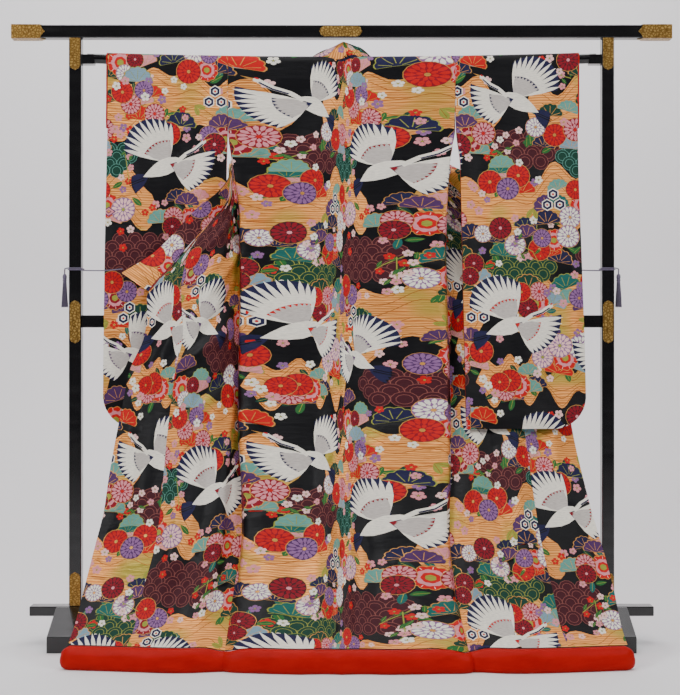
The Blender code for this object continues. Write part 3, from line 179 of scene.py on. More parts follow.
# Width of each side collar up its seam, from the cut tip to the shoulder line
COLLAR_COLUMNS = ("z", "width", "slant")
COLLAR_ROWS = (
    (1.024, 0.098, 0.10),
    (1.096, 0.064, 0.04),
    (1.160, 0.058, 0.0),
    (1.280, 0.052, 0.0),
    (1.350, 0.048, 0.0),
    (1.400, 0.044, 0.0),
    (1.480, 0.052, 0.0),
    (1.640, 0.053, 0.0),
    (1.720, 0.051, 0.0),
)

# Inner and outer edge of each sleeve
SLEEVE_COLUMNS = ("z", "left_in", "left_out", "right_in", "right_out")
SLEEVE_ROWS = (
    (0.600, 0.3385, 0.692, 0.3550, 0.703),
    (0.750, 0.3385, 0.692, 0.3540, 0.703),
    (1.100, 0.3375, 0.690, 0.3500, 0.698),
    (1.400, 0.3355, 0.686, 0.3460, 0.691),
    (1.500, 0.3332, 0.684, 0.3350, 0.690),
    (1.600, 0.3326, 0.683, 0.3326, 0.690),
    (1.700, 0.3326, 0.683, 0.3326, 0.690),
)


# Samples: heights of the body's rows, places across the back, down a sleeve, and round the rod
BACK_HEIGHTS = [row[0] for row in LEFT_ROWS]
BACK_SHARES = (0, 0.03, 0.07, 0.12, 0.18, 0.256, 0.40, 0.60, 0.80, 1.0)
FRONT_POINTS = 17
TURNS = (0, 22, 45, 67, 88.8)
SLEEVE_STEPS = 12
SLEEVE_DOWN = (0.04, 0.14, 0.28, 0.44, 0.60, 0.76, 0.89, 1.0)

# The left collar is bunched where it slips between sleeve and back: its reach in these rows
COLLAR_AIMS = {
    ("left", 16): (-0.0030, -0.0160, 0.004),
    ("left", 17): (-0.0095, 0.0060, 0.003),
    ("left", 18): (-0.0060, 0.0170, 0.000),
}

BUNCHED = 0.0045      # room for that turn



def slope(xs, ys):
    """Steepness at each point of a table, level at its peaks, so that curves never overshoot."""
    steps = np.diff(xs)
    rises = np.diff(ys) / steps
    found = np.zeros(len(xs))
    found[0] = rises[0]
    found[-1] = rises[-1]
    for i in range(1, len(xs) - 1):
        if rises[i - 1] * rises[i] > 0:
            found[i] = 2 * rises[i - 1] * rises[i] / (rises[i - 1] + rises[i])
    return found


def read(names, rows, name, at):
    """A column of a table at any height, on a smooth curve through the rows."""
    xs = np.array([row[0] for row in rows])
    ys = np.array([row[names.index(name)] for row in rows])
    at = min(max(at, xs[0]), xs[-1])
    i = min(int(np.searchsorted(xs, at, side="right")) - 1, len(xs) - 2)
    i = max(i, 0)
    step = xs[i + 1] - xs[i]
    t = (at - xs[i]) / step
    tilt = slope(xs, ys)
    return float(
        ys[i] * (1 + 2 * t) * (1 - t) ** 2
        + ys[i + 1] * t * t * (3 - 2 * t)
        + step * tilt[i] * t * (1 - t) ** 2
        - step * tilt[i + 1] * t * t * (1 - t)
    )


def sag(x):
    """How far the loaded rod has dropped at a place along it."""
    return ROD_SAG * (1 - min(abs(x) / ROD_HALF, 1.0) ** 2)


def hang(x, z):
    """The rod's sag pulls the upper cloth down with it, fading out toward the hem."""
    return sag(x) * min(max((z - 0.9) / 0.75, 0.0), 1.0) ** 2


def over_rod(x, turn, side):
    """Middle of the cloth round the rod: turn 0 is at its side, 90 on its crown."""
    rise = ROD_HEIGHT / 2 + ROD_CLEAR + CLOTH / 2
    y = STAND_Y + side * ROD_REACH * math.cos(math.radians(max(turn, 0.0)))
    z = ROD_Z - sag(x) + rise * math.sin(math.radians(turn))
    return Vector((x, y, z))


def spline(points, count):
    """Points spaced evenly along a smooth curve through a few points."""
    points = [Vector(p) for p in points]
    ends = [points[0] * 2 - points[1], *points, points[-1] * 2 - points[-2]]
    fine = []
    for a, b, c, d in zip(ends, ends[1:], ends[2:], ends[3:]):
        for k in range(12):
            t = k / 12
            fine.append(
                0.5
                * (
                    2 * b
                    + (c - a) * t
                    + (2 * a - 5 * b + 4 * c - d) * t**2
                    + (3 * b - a - 3 * c + d) * t**3
                )
            )
    fine.append(points[-1])
    lengths = [0.0]
    for a, b in zip(fine, fine[1:]):
        lengths.append(lengths[-1] + (b - a).length)
    found = []
    for k in range(count):
        want = lengths[-1] * k / (count - 1)
        i = 0
        while i < len(lengths) - 2 and lengths[i + 1] < want:
            i += 1
        t = (want - lengths[i]) / (lengths[i + 1] - lengths[i])
        found.append(fine[i].lerp(fine[i + 1], t))
    return found


def forward(depth):
    return STAND_Y - depth


def hem_dip(x):
    """The hem is pinched lower at both side seams."""
    return PINCH * sum(math.exp(-(((x - at) / 0.035) ** 2)) for at in SEAM_PINCHES)


def hem_height(x):
    return HEM_Z - hem_dip(x) + 0.0045


def neck_share(x):
    """1 at the middle of the neckline, 0 from its ends outward."""
    return min(max((NECK_HALF + 0.008 - abs(x)) / NECK_HALF, 0.0), 1.0)


def share_open(x):
    """How much of the turn over the rod the cloth makes: none at the middle of the neck."""
    return (1 - neck_share(x)) ** 0.6


def neck_turn(x, turn):
    """Where a row over the rod runs: full turn outside the neck, below the rod's side in it."""
    opened = share_open(x)
    return turn * opened - 40 * (1 - turn / TURNS[-1]) * (1 - opened)


def back_row(side, z):
    """One level row of the back's half, from the centre seam to the side seam."""
    name = "left" if side < 0 else "right"
    edge = read(BACK_COLUMNS, BACK_ROWS, name, z)
    depth = read(BACK_COLUMNS, BACK_ROWS, "depth", z)
    step = read(BACK_COLUMNS, BACK_ROWS, "step", z)
    low = max(0.0, 1 - z / 1.2)
    points = []
    for t in BACK_SHARES:
        x = side * edge * t
        droop = BACK_DROOP * low**2 * t**2 * (1.0 if side < 0 else 0.55)
        ripple = 0.006 * low * math.sin(3.1 * math.pi * t) * (1 - t)
        points.append(Vector((x, forward(depth - droop - ripple), z - hang(x, z))))
    corner = points[-1]
    spread = (0.030 if side < 0 else 0.010) * max(0.0, 1 - z / 0.30)
    seam = corner + Vector((side * (step * 0.3 + spread + BACK_TURN), step, 0))
    return points, seam


def back_grid(side):
    grid = []
    for z in BACK_HEIGHTS[:-1]:
        points, seam = back_row(side, z)
        grid.append([*points, seam])
    for i, point in enumerate(grid[0]):
        grid[0][i] = Vector((point.x, point.y, hem_height(point.x)))
    edge = SHOULDER_X - SIDE_LINE - BACK_TURN
    for turn in TURNS:
        line = []
        for t in BACK_SHARES:
            x = side * edge * t
            line.append(over_rod(x, neck_turn(x, turn), -1))
        line.append(line[-1] + Vector((side * BACK_TURN, 0, 0)))
        grid.append(line)
    return grid


def front_row(side, row):
    """One row of a front and its overlap panel, from the side seam to the free edge."""
    at = dict(zip(FRONT_COLUMNS, row))
    z = at["z"]
    if z < 1.40:
        seam = back_row(side, z)[1]
    else:
        gone = min((z - 1.40) / 0.10, 1.0)
        low = back_row(side, 1.39)[1]
        x = side * (abs(low.x) * (1 - gone) + (SHOULDER_X - SIDE_LINE) * gone)
        behind = -ROD_REACH * max(z - 1.5, 0.0) / 0.2
        seam = Vector((x, forward(0.019 * (1 - gone) + behind * gone), z - hang(x, z)))
    if z <= 0.0601:
        seam.z = z
    middle = 0.5 * (z + at["edge_z"])
    route = [
        seam,
        Vector((side * at["fold_x"], forward(at["fold_d"]), z - hang(at["fold_x"], z))),
        Vector((side * at["turn_x"], forward(at["turn_d"]), z - hang(at["turn_x"], z))),
        Vector((side * at["swing_x"], forward(at["swing_d"]), middle - hang(0.2, middle))),
        Vector((side * at["edge_x"], forward(at["edge_d"]), at["edge_z"] - hang(0.1, z))),
    ]
    line = spline(route, FRONT_POINTS)
    if z <= 0.0601:
        line = [Vector((p.x, p.y, hem_height(p.x))) for p in line]
    return line


def front_grid(side):
    rows = LEFT_ROWS if side < 0 else RIGHT_ROWS
    grid = [front_row(side, row) for row in rows]
    top = grid[-1]
    for j, point in enumerate(top):
        top[j] = over_rod(point.x, 0, 1)
    for turn in TURNS[1:]:
        grid.append([over_rod(p.x, turn, 1) for p in top])
    return grid


def okumi_column(side):
    """For each row, the column where the overlap panel's seam crosses it."""
    rows = LEFT_ROWS if side < 0 else RIGHT_ROWS
    return [row[FRONT_COLUMNS.index("okumi")] for row in rows]


def part_row(line, start, end, count):
    """Evenly spaced points on a stretch of a row, given as shares of its length."""
    lengths = [0.0]
    for a, b in zip(line, line[1:]):
        lengths.append(lengths[-1] + (b - a).length)
    found = []
    for k in range(count):
        want = lengths[-1] * (start + (end - start) * k / (count - 1))
        i = 0
        while i < len(lengths) - 2 and lengths[i + 1] < want:
            i += 1
        t = (want - lengths[i]) / (lengths[i + 1] - lengths[i])
        found.append(line[i].lerp(line[i + 1], min(max(t, 0.0), 1.0)))
    return found


def grid_normals(grid):
    """Which way each point of a sheet faces: forward, out of the back's outer side."""
    rows, columns = len(grid), len(grid[0])
    found = []
    for i in range(rows):
        line = []
        for j in range(columns):
            up = grid[min(i + 1, rows - 1)][j] - grid[max(i - 1, 0)][j]
            along = grid[i][min(j + 1, columns - 1)] - grid[i][max(j - 1, 0)]
            line.append(along.cross(up).normalized())
        found.append(line)
    return found


def facing(side, grid):
    """Normals toward the outer side of the cloth, on either half of the garment."""
    faces = grid_normals(grid)
    return [[-n for n in line] for line in faces] if side < 0 else faces


def mitre(faces, i, j, others, k, m):
    """Two panels that meet at a seam end in one shared plane there."""
    both = (faces[i][j] + others[k][m]).normalized()
    faces[i][j] = both
    others[k][m] = both


def half(side):
    """The panels of one half, as sheets of points with their facing directions."""
    back = back_grid(side)
    front = front_grid(side)
    shares = okumi_column(side)
    shares += [1.0] * (len(front) - len(shares))
    main = [part_row(line, 0.0, share, 14) for line, share in zip(front, shares)]
    laps = [i for i, share in enumerate(shares) if share < 1.0]
    lap = [part_row(front[i], shares[i], 1.0, 5) for i in laps]
    for sheet in (main, lap):
        sheet[0] = [Vector((p.x, p.y, hem_height(p.x))) for p in sheet[0]]
    for i, z in enumerate(BACK_HEIGHTS):
        if z < SEAM_TOP:
            main[i][0] = back[i][-1].copy()
    back_faces = facing(side, back)
    main_faces = facing(side, main)
    lap_faces = facing(side, lap)
    for line in back_faces:
        line[0] = Vector((0, line[0].y, line[0].z)).normalized()
    for faces in (back_faces, main_faces, lap_faces):
        faces[0] = [Vector((n.x, n.y, 0)).normalized() for n in faces[0]]
    for i, z in enumerate(BACK_HEIGHTS):
        if z < SEAM_TOP:
            mitre(back_faces, i, -1, main_faces, i, 0)
    for i in laps:
        mitre(main_faces, i, -1, lap_faces, i, 0)
    return back, back_faces, main, main_faces, lap, lap_faces


def collar_side(side, main, main_faces, lap, lap_faces):
    """A collar stretch that carries on from the front's edge, tip to shoulder line."""
    word = "left" if side < 0 else "right"
    tip_x, tip_z = COLLAR_PEAKS[word]
    seam = []
    for i in range(COLLAR_FIRST, len(main)):
        source = (lap, lap_faces) if i < len(lap) else (main, main_faces)
        seam.append((source[0][i][-1], source[0][i][-2], source[1][i][-1]))
    grid = []
    count = len(seam)
    for i, (here, before, face) in enumerate(seam):
        line = seam[min(i + 1, count - 1)][0] - seam[max(i - 1, 0)][0]
        out = line.cross(face).normalized()
        if out.dot(here - before) < 0:
            out = -out
        width = read(COLLAR_COLUMNS, COLLAR_ROWS, "width", here.z)
        slant = read(COLLAR_COLUMNS, COLLAR_ROWS, "slant", here.z)
        out = (out - line.normalized() * slant).normalized()
        aim = COLLAR_AIMS.get((word, COLLAR_FIRST + i))
        if aim:
            out = Vector(aim).normalized()
            width = Vector(aim).length
        on_rod = i - (count - len(TURNS))
        if on_rod >= 0:
            share = math.sin(math.radians(TURNS[on_rod]))
            peak = Vector((side * tip_x, here.y, tip_z))
            goal = (peak - here).normalized()
            level = Vector((-side, 0.12 * (1 - share), 0))
            out = (level * (1 - share) + goal * share).normalized()
            if share > 0.99:
                width = (peak - here).length
        curl = face * (0.0 if aim else 0.003)
        start = here + out * (GAP + (BUNCHED if aim else 0.0))
        free = start + out * width
        grid.append([start, start.lerp(free, 0.35) + curl, start.lerp(free, 0.72) + curl, free])
    grid[-1] = [Vector((p.x, STAND_Y + 0.0005, p.z)) for p in grid[-1]]
    return grid


def collar_neck():
    """The stretch that stands up along the back neckline, in front of and over the rod."""
    grid = []
    edge = SHOULDER_X - SIDE_LINE - BACK_TURN
    halves = [edge * t for t in BACK_SHARES if edge * t < NECK_HALF] + [NECK_HALF + 0.0040]
    places = [-x for x in reversed(halves[1:])] + halves
    for x in places:
        a = x / places[-1]
        tip_x, tip_z = COLLAR_PEAKS["left" if a < 0 else "right"]
        turn = 88.8 * share_open(x)
        angle = math.radians(turn)
        onward = Vector((0, math.sin(angle), math.cos(angle)))
        seam = over_rod(x, turn, -1) + onward * (2 * GAP)
        crest = COLLAR_CREST - (COLLAR_CREST - tip_z) * a * a
        lean = STAND_Y + 0.002 - 0.0023 * a * a
        free = Vector((0.005 * (1 - a * a) + abs(a) * a * tip_x, lean, crest))
        outward = Vector((0, -0.010, 0.006)) * (1 - a * a)
        middle = seam.lerp(free, 0.45) + outward
        line = [seam, seam.lerp(middle, 0.5) + outward * 0.25, middle, free]
        if abs(a) > 0.999:
            line = [Vector((p.x, STAND_Y - 0.0003, p.z)) for p in line]
        grid.append(line)
    return grid


def sleeve_side(word, which, z):
    return read(SLEEVE_COLUMNS, SLEEVE_ROWS, f"{word}_{which}", z)


def sleeve_depth(word, x, z):
    """Middle of the hanging sleeve, between its front and rear sheets."""
    inner, outer = SLEEVE_LEAN[word]
    t = min(max((ROD_Z - z) / (ROD_Z - SLEEVE_LOW), 0.0), 1.0)
    across = min(max((x - 0.34) / 0.35, 0.0), 1.0)
    return (inner + (outer - inner) * across) * t ** SLEEVE_BEND[word]


def half_gap(z, near):
    """Half the space between the sheets: wide at the rod, closing at the lower edge."""
    gap = ROD_REACH + (SLEEVE_AIR - ROD_REACH) * min((ROD_Z - z) / 0.27, 1.0)
    start, end = SLEEVE_FOLD
    closed = min(max((near - end) / (start - end), 0.0), 1.0)
    return gap * closed + SLEEVE_AIR * 0.54 * (1 - closed)


# Colours

def linear(red, green, blue):
    """A colour as seen on a screen, 0 to 255, in the renderer's linear values."""
    found = []
    for value in (red, green, blue):
        v = value / 255
        found.append(v / 12.92 if v <= 0.04045 else ((v + 0.055) / 1.055) ** 2.4)
    return tuple(found)


THREADS = {
    "black": (7, 7, 11), "gold": (232, 144, 62), "bronze": (156, 84, 30),
    "line": (196, 142, 70), "rose_brown": (134, 74, 66), "white": (232, 226, 212),
    "pearl": (186, 178, 172), "navy": (24, 24, 62), "red": (190, 14, 14),
    "crimson": (132, 8, 28), "maroon": (62, 15, 26), "pink": (212, 134, 142),
    "pale_pink": (232, 186, 182), "lilac": (134, 92, 140), "purple": (74, 40, 88),
    "teal": (16, 92, 86), "pale_teal": (92, 148, 136), "green": (34, 96, 44),
    "deep_green": (10, 56, 42), "lime": (142, 146, 56), "sky": (118, 148, 164),
}


# Nodes of the materials

def shader(name, colour, roughness, metallic=0.0):
    made = bpy.data.materials.new(name)
    made.use_nodes = True
    main = made.node_tree.nodes["Principled BSDF"]
    main.inputs["Base Color"].default_value = (*colour, 1.0)
    main.inputs["Roughness"].default_value = roughness
    main.inputs["Metallic"].default_value = metallic
    return made, main


def node(made, kind, **values):
    found = made.node_tree.nodes.new(kind)
    for key, value in values.items():
        if key in found.inputs:
            found.inputs[key].default_value = value
        else:
            setattr(found, key, value)
    return found


def wire(made, source, output, target, entry):
    made.node_tree.links.new(source.outputs[output], target.inputs[entry])


def ramp(made, stops):
    found = made.node_tree.nodes.new("ShaderNodeValToRGB")
    line = found.color_ramp
    while len(line.elements) < len(stops):
        line.elements.new(0.5)
    for element, (at, colour) in zip(line.elements, stops):
        element.position = at
        element.color = (*colour, 1.0) if len(colour) == 3 else colour
    return found


def scaled(colour, factor):
    return tuple(min(channel * factor, 1.0) for channel in colour)


def places(made, stretch, kind="UV"):
    """Cloth coordinates in metres, stretched for a texture."""
    source = node(made, "ShaderNodeTexCoord")
    moved = node(made, "ShaderNodeMapping")
    moved.inputs["Scale"].default_value = stretch
    wire(made, source, kind, moved, "Vector")
    return moved


def weave_bump(made, main, strength, pitch=1250.0, pucker=0.0, kind="UV"):
    """Fine diagonal satin floats, over broader puckers of the ground."""
    threads = node(made, "ShaderNodeTexWave", Scale=1.0)
    threads.bands_direction = "DIAGONAL"
    threads.inputs["Distortion"].default_value = 1.2
    threads.inputs["Detail Scale"].default_value = 0.6
    wire(made, places(made, (pitch, pitch * 0.45, pitch), kind), "Vector", threads, "Vector")
    bump = node(made, "ShaderNodeBump", Strength=strength, Distance=0.0003)
    wire(made, threads, "Fac", bump, "Height")
    if pucker:
        folds = node(made, "ShaderNodeTexNoise", Scale=1.0, Detail=3.0)
        wire(made, places(made, (26.0, 95.0, 26.0), kind), "Vector", folds, "Vector")
        broad = node(made, "ShaderNodeBump", Strength=pucker, Distance=0.004)
        wire(made, folds, "Fac", broad, "Height")
        wire(made, broad, "Normal", bump, "Normal")
    wire(made, bump, "Normal", main, "Normal")
    return threads


def mottled(made, main, colour, spread, stretch, kind="UV"):
    """Thread colour that drifts a little from place to place."""
    drift = node(made, "ShaderNodeTexNoise", Scale=1.0, Detail=4.0)
    wire(made, places(made, stretch, kind), "Vector", drift, "Vector")
    line = ramp(made, (
        (0.3, scaled(colour, 1 - spread)), (0.5, colour), (0.72, scaled(colour, 1 + spread)),
    ))
    wire(made, drift, "Fac", line, "Fac")
    wire(made, line, "Color", main, "Base Color")


def thread_material(name):
    """Embroidered or woven silk of one thread colour."""
    colour = linear(*THREADS[name])
    if name == "gold":
        return gold_ground()
    made, main = shader(f"silk_{name}", colour, 0.62)
    main.inputs["Specular IOR Level"].default_value = 0.22
    if name == "black":
        main.inputs["Roughness"].default_value = 0.42
        main.inputs["Specular IOR Level"].default_value = 0.20
        mottled(made, main, colour, 0.25, (60.0, 240.0, 60.0))
        weave_bump(made, main, 0.25, pucker=0.25)
        return made
    if name in ("line", "bronze"):
        main.inputs["Metallic"].default_value = 0.55
        main.inputs["Roughness"].default_value = 0.42
    mottled(made, main, colour, 0.16, (90.0, 420.0, 90.0))
    weave_bump(made, main, 0.35, pitch=900.0, pucker=0.3)
    return made


def gold_ground():
    """Gold-foil thread with flowing darker lines, and lime patches at random places that are
    painted shade.
    """
    made, main = shader("silk_gold", linear(*THREADS["gold"]), 0.4, 0.45)
    flow = node(made, "ShaderNodeTexWave", Scale=1.0)
    flow.bands_direction = "Y"
    flow.inputs["Distortion"].default_value = 9.0
    flow.inputs["Detail"].default_value = 2.0
    flow.inputs["Detail Scale"].default_value = 0.8
    wire(made, places(made, (9.0, 46.0, 9.0)), "Vector", flow, "Vector")
    tone = ramp(made, (
        (0.0, linear(190, 108, 42)), (0.22, linear(220, 136, 58)), (0.5, linear(232, 150, 68)),
        (1.0, linear(244, 172, 92)),
    ))
    wire(made, flow, "Fac", tone, "Fac")
    # Lime patches by noise: painted shade, the greenish cast that the gold takes in its shaded
    # folds, placed at random
    patch = node(made, "ShaderNodeTexNoise", Scale=1.0, Detail=1.0)
    wire(made, places(made, (5.0, 7.0, 5.0)), "Vector", patch, "Vector")
    share = ramp(made, ((0.56, (0.0, 0.0, 0.0)), (0.70, (1.0, 1.0, 1.0))))
    wire(made, patch, "Fac", share, "Fac")
    mixed = node(made, "ShaderNodeMix", data_type="RGBA")
    mixed.inputs[6].default_value = (*linear(238, 166, 90), 1.0)
    mixed.inputs[7].default_value = (*linear(168, 150, 52), 1.0)
    wire(made, share, "Color", mixed, 0)
    made.node_tree.links.new(tone.outputs["Color"], mixed.inputs[6])
    made.node_tree.links.new(mixed.outputs[2], main.inputs["Base Color"])
    weave_bump(made, main, 0.5, pitch=700.0, pucker=0.9)
    return made


# Motifs: each gives rows of (thread, outline), later ones lie on top. Outlines are complex
# numbers in metres, x to the right and y down the cloth.

def turned(outline, size, angle, at):
    spin = complex(math.cos(angle), math.sin(angle)) * size
    return [p * spin + at for p in outline]


def oval(width, height, steps, at=0j, angle=0.0):
    ring = []
    for k in range(steps):
        a = 2 * math.pi * k / steps
        ring.append(complex(width / 2 * math.cos(a), height / 2 * math.sin(a)))
    return turned(ring, 1.0, angle, at)


def petal(root, tip, width, steps=3):
    """A rounded petal or feather from root to tip, widest past its middle."""
    along = tip - root
    across = along / abs(along) * 1j * width / 2
    sides = []
    for k in range(1, steps + 1):
        t = k / (steps + 0.6)
        swell = math.sin(math.pi * t**1.3) ** 0.7
        sides.append((t, swell))
    left = [root + along * t + across * s for t, s in sides]
    right = [root + along * t - across * s for t, s in reversed(sides)]
    return [root, *left, tip, *right]


def stroke(points, width):
    """A thin line of even width through points."""
    left = []
    right = []
    for i, p in enumerate(points):
        along = points[min(i + 1, len(points) - 1)] - points[max(i - 1, 0)]
        side = along / abs(along) * 1j * width / 2
        left.append(p + side)
        right.append(p - side)
    return left + right[::-1]


def chrysanthemum(at, size, angle, main, under, heart):
    found = [("line", oval(size * 1.04, size * 1.04, 15, at)), (under, oval(size, size, 15, at))]
    for count, reach, inner, width in ((15, 0.49, 0.22, 0.145), (8, 0.25, 0.07, 0.12)):
        for k in range(count):
            way = complex(math.cos(angle + 2 * math.pi * k / count),
                          math.sin(angle + 2 * math.pi * k / count))
            found.append((main, petal(at + way * inner * size, at + way * reach * size,
                                      size * width, 2)))
    found.append((heart, oval(size * 0.15, size * 0.15, 7, at)))
    return found


def blossom(at, size, angle, main, heart="lime"):
    found = []
    for k in range(5):
        way = complex(math.cos(angle + 2 * math.pi * k / 5), math.sin(angle + 2 * math.pi * k / 5))
        found.append((main, petal(at + way * size * 0.06, at + way * size * 0.5, size * 0.42, 2)))
    found.append((heart, oval(size * 0.2, size * 0.2, 5, at)))
    return found


def peony(at, size, angle, outer, middle, heart):
    found = []
    rims = ((1.0, 11, "line", 1.05), (1.0, 11, outer, 1.0), (0.72, 9, middle, 1.0),
            (0.46, 7, outer, 1.0), (0.26, 6, heart, 1.0))
    for share, lobes, thread, grow in rims:
        ring = []
        for k in range(lobes * 4):
            a = angle + share * 3 + 2 * math.pi * k / (lobes * 4)
            wave = 0.88 + 0.12 * abs(math.sin(a * lobes / 2))
            reach = size * 0.5 * share * wave * grow
            ring.append(at + complex(math.cos(a), math.sin(a)) * reach)
        found.append((thread, ring))
    for k in range(9):
        a = angle + 2 * math.pi * k / 9
        way = complex(math.cos(a), math.sin(a))
        line = [at + way * size * 0.36, at + way * size * 0.46]
        found.append(("pale_pink", stroke(line, size * 0.02)))
    return found


def pine(at, size, angle, main, edge="line"):
    """A fan of pine needles: scalloped crown, ribs and a straight foot."""
    def crown(grow, lift):
        ring = []
        lobes = 7
        for k in range(lobes * 3 + 1):
            t = k / (lobes * 3)
            a = math.pi * t
            wave = 0.93 + 0.09 * abs(math.sin(math.pi * t * lobes))
            ring.append(complex(-math.cos(a) * 0.5, -math.sin(a) * 0.5 + lift) * wave * grow)
        return ring
    found = [(edge, turned(crown(1.07, 0.0), size, angle, at)),
             (main, turned(crown(1.0, -0.01), size, angle, at))]
    for k in range(5):
        a = math.pi * (k + 0.5) / 5
        way = complex(-math.cos(a), -math.sin(a))
        rib = stroke([way * 0.10, way * 0.42], 0.018)
        found.append((edge, turned(rib, size, angle, at)))
    return found


def leaf(at, size, angle, main, vein="lime"):
    body = turned(petal(0j, 1 + 0j, 0.42, 4), size, angle, at)
    rib = turned(stroke([0.08 + 0j, 0.85 + 0j], 0.03), size, angle, at)
    return [(main, body), (vein, rib)]


def waves(at, size, columns, rows, main, edge):
    """Overlapping ringed scales in staggered rows, in a rounded heap."""
    found = []
    for row in range(rows):
        shift = 0.5 * (row % 2)
        inset = abs(row - (rows - 1) / 2) * 0.45
        for column in range(columns):
            x = column + shift - columns / 2
            if abs(x) > columns / 2 - inset:
                continue
            place = at + complex(x, (row - rows / 2) * 0.52) * size
            for share, thread in ((1.05, edge), (0.99, main), (0.66, edge), (0.60, main)):
                found.append((thread, oval(size * share, size * share, 11, place)))
    return found


def hexagons(at, size, thread="white", inner="navy"):
    found = []
    for k in range(3):
        a = math.pi / 2 + 2 * math.pi * k / 3
        place = at - complex(math.cos(a), math.sin(a)) * size * 0.58
        for share, colour in ((1.0, thread), (0.82, inner), (0.42, thread), (0.20, "red")):
            ring = [place + complex(math.cos(b), math.sin(b)) * size * share / 2
                    for b in (math.pi / 6 + math.pi * n / 3 for n in range(6))]
            found.append((colour, ring))
    return found


def diamond(at, size, outer, inner):
    found = []
    for share, colour in ((1.0, outer), (0.78, inner), (0.42, outer), (0.26, "gold")):
        ring = [at + p * size * share for p in (-0.5 + 0j, -0.34j, 0.5 + 0j, 0.34j)]
        found.append((colour, ring))
    return found


def fan(root, start, end, count, near, far, width, feathers, under):
    """A spread wing or tail: a dark ground with pale feathers over it."""
    ground = [root]
    for k in range(count + 1):
        a = start + (end - start) * k / count
        reach = far(k / count) * 0.97
        ground.append(root + complex(math.cos(a), math.sin(a)) * reach)
    found = [(under, ground)]
    for k in range(count):
        t = (k + 0.5) / count
        a = start + (end - start) * t
        way = complex(math.cos(a), math.sin(a))
        found.append((feathers, petal(root + way * near, root + way * far(t), width, 3)))
    return found


def crane(at, size, angle, flip, patch="red"):
    """A crane in flight: two spread wings, dark tail, long neck with a red crown."""
    shoulder = 0.02 + 0.0j
    parts = []
    parts += fan(shoulder + 0.01, -2.75, -1.35, 11, 0.08,
                 lambda t: 0.40 + 0.16 * math.sin(math.pi * (1 - t) * 0.8), 0.047, "white", "navy")
    parts += fan(shoulder + 0.01, -2.62, -1.45, 8, 0.05,
                 lambda t: 0.25 + 0.05 * (1 - t), 0.046, "pearl", patch)
    parts += fan(-0.20 + 0.08j, 2.35, 3.25, 6, 0.02, lambda t: 0.25 - 0.06 * t, 0.05,
                 "navy", "black")
    parts.append(("white", petal(-0.27 + 0.09j, 0.15 - 0.03j, 0.17, 5)))
    parts += fan(shoulder, -0.15, 1.15, 10, 0.07,
                 lambda t: 0.50 - 0.15 * t, 0.050, "white", "navy")
    parts += fan(shoulder, 0.0, 1.05, 7, 0.04, lambda t: 0.27 - 0.05 * t, 0.050, "pearl", patch)
    neck = [0.09 - 0.01j, 0.20 - 0.075j, 0.30 - 0.105j, 0.385 - 0.155j]
    parts.append(("white", stroke(neck, 0.040)))
    parts.append(("navy", stroke([p + 0.012j for p in neck[1:]], 0.014)))
    parts.append(("white", oval(0.055, 0.042, 10, 0.40 - 0.165j, -0.4)))
    parts.append(("red", oval(0.032, 0.016, 8, 0.405 - 0.182j, -0.3)))
    parts.append(("line", [0.42 - 0.180j, 0.50 - 0.190j, 0.422 - 0.162j]))
    for lift in (0.0, 0.022):
        leg = [-0.26 + (0.10 + lift) * 1j, -0.42 + (0.135 + lift) * 1j]
        parts.append(("black", stroke(leg, 0.010)))
    found = []
    for thread, outline in parts:
        if flip:
            outline = [complex(-p.real, p.imag) for p in outline]
        found.append((thread, turned(outline, size, angle, at)))
    return found


def band(left, right, y, rise, low, high, phase):
    """A flowing bank of cloud with lobed ends, wavy above and below."""
    count = 40
    top = []
    bottom = []
    for k in range(count + 1):
        t = k / count
        x = left + (right - left) * t
        ends = min(1.0, math.sin(math.pi * t) * 3.2) ** 0.5
        sway = rise * math.sin(2 * math.pi * t * 1.25 + phase)
        top.append(complex(x, y + sway - ends * (low + 0.022 * math.sin(9.5 * t * math.pi + phase)
                                                  + 0.010 * math.sin(23 * t + phase * 3))))
        bottom.append(complex(x, y + sway + ends * (high + 0.026 * math.sin(7.3 * t * math.pi
                                                                             + phase * 2)
                                                    + 0.010 * math.sin(19 * t + phase))))
    ring = top + bottom[::-1]
    inner = []
    for share in (0.9, 0.62, 0.3):
        line = []
        for a, b in zip(top[3:-3], bottom[3:-3]):
            middle = (a + b) / 2
            line.append(middle + (a - middle) * share)
        inner.append(("bronze", stroke(line, 0.0016)))
        line = [(a + b) - p for a, b, p in zip(top[3:-3], bottom[3:-3], line)]
        inner.append(("bronze", stroke(line, 0.0016)))
    return [("gold", ring), *inner]


# One repeat of the figured satin, laid out for this part
TILE = (0.66, 1.04)
CELLS = (11, 16)         # the repeat is cut up in this many cells across and down
GRID = 0.0150            # spacing of the points that let the cloth bend
FINEST = 0.00022         # corners of a motif flatter than this are left out
WELD = 0.000006          # points of a cloth nearer than this are one
ON_LINE = 0.0000001      # points nearer a cut than this lie on it
BANDS = (
    # left, right, y, rise, above, below, phase
    (-0.13, 0.47, 0.150, 0.020, 0.070, 0.085, 0.4),
    (0.24, 0.83, 0.445, -0.024, 0.075, 0.080, 2.1),
    (-0.22, 0.42, 0.760, 0.022, 0.085, 0.095, 3.6),
    (0.36, 0.70, 0.960, -0.010, 0.045, 0.050, 5.2),
)
HEAPS = (
    # x, y, size of a scale, columns, rows, thread, edge
    (0.52, 0.300, 0.046, 5, 4, "maroon", "rose_brown"),
    (0.13, 0.610, 0.044, 5, 5, "maroon", "rose_brown"),
    (0.03, 0.330, 0.040, 4, 4, "deep_green", "pale_teal"),
    (0.50, 0.655, 0.042, 5, 4, "deep_green", "lime"),
    (0.23, 0.985, 0.044, 5, 4, "maroon", "rose_brown"),
)
CRANES = (
    # x, y, size, angle, flipped, coverts
    (0.200, 0.330, 0.285, -0.18, False, "crimson"),
    (0.500, 0.140, 0.270, 0.22, True, "navy"),
    (0.470, 0.800, 0.290, -0.05, False, "red"),
    (0.110, 0.885, 0.265, 0.12, True, "purple"),
)
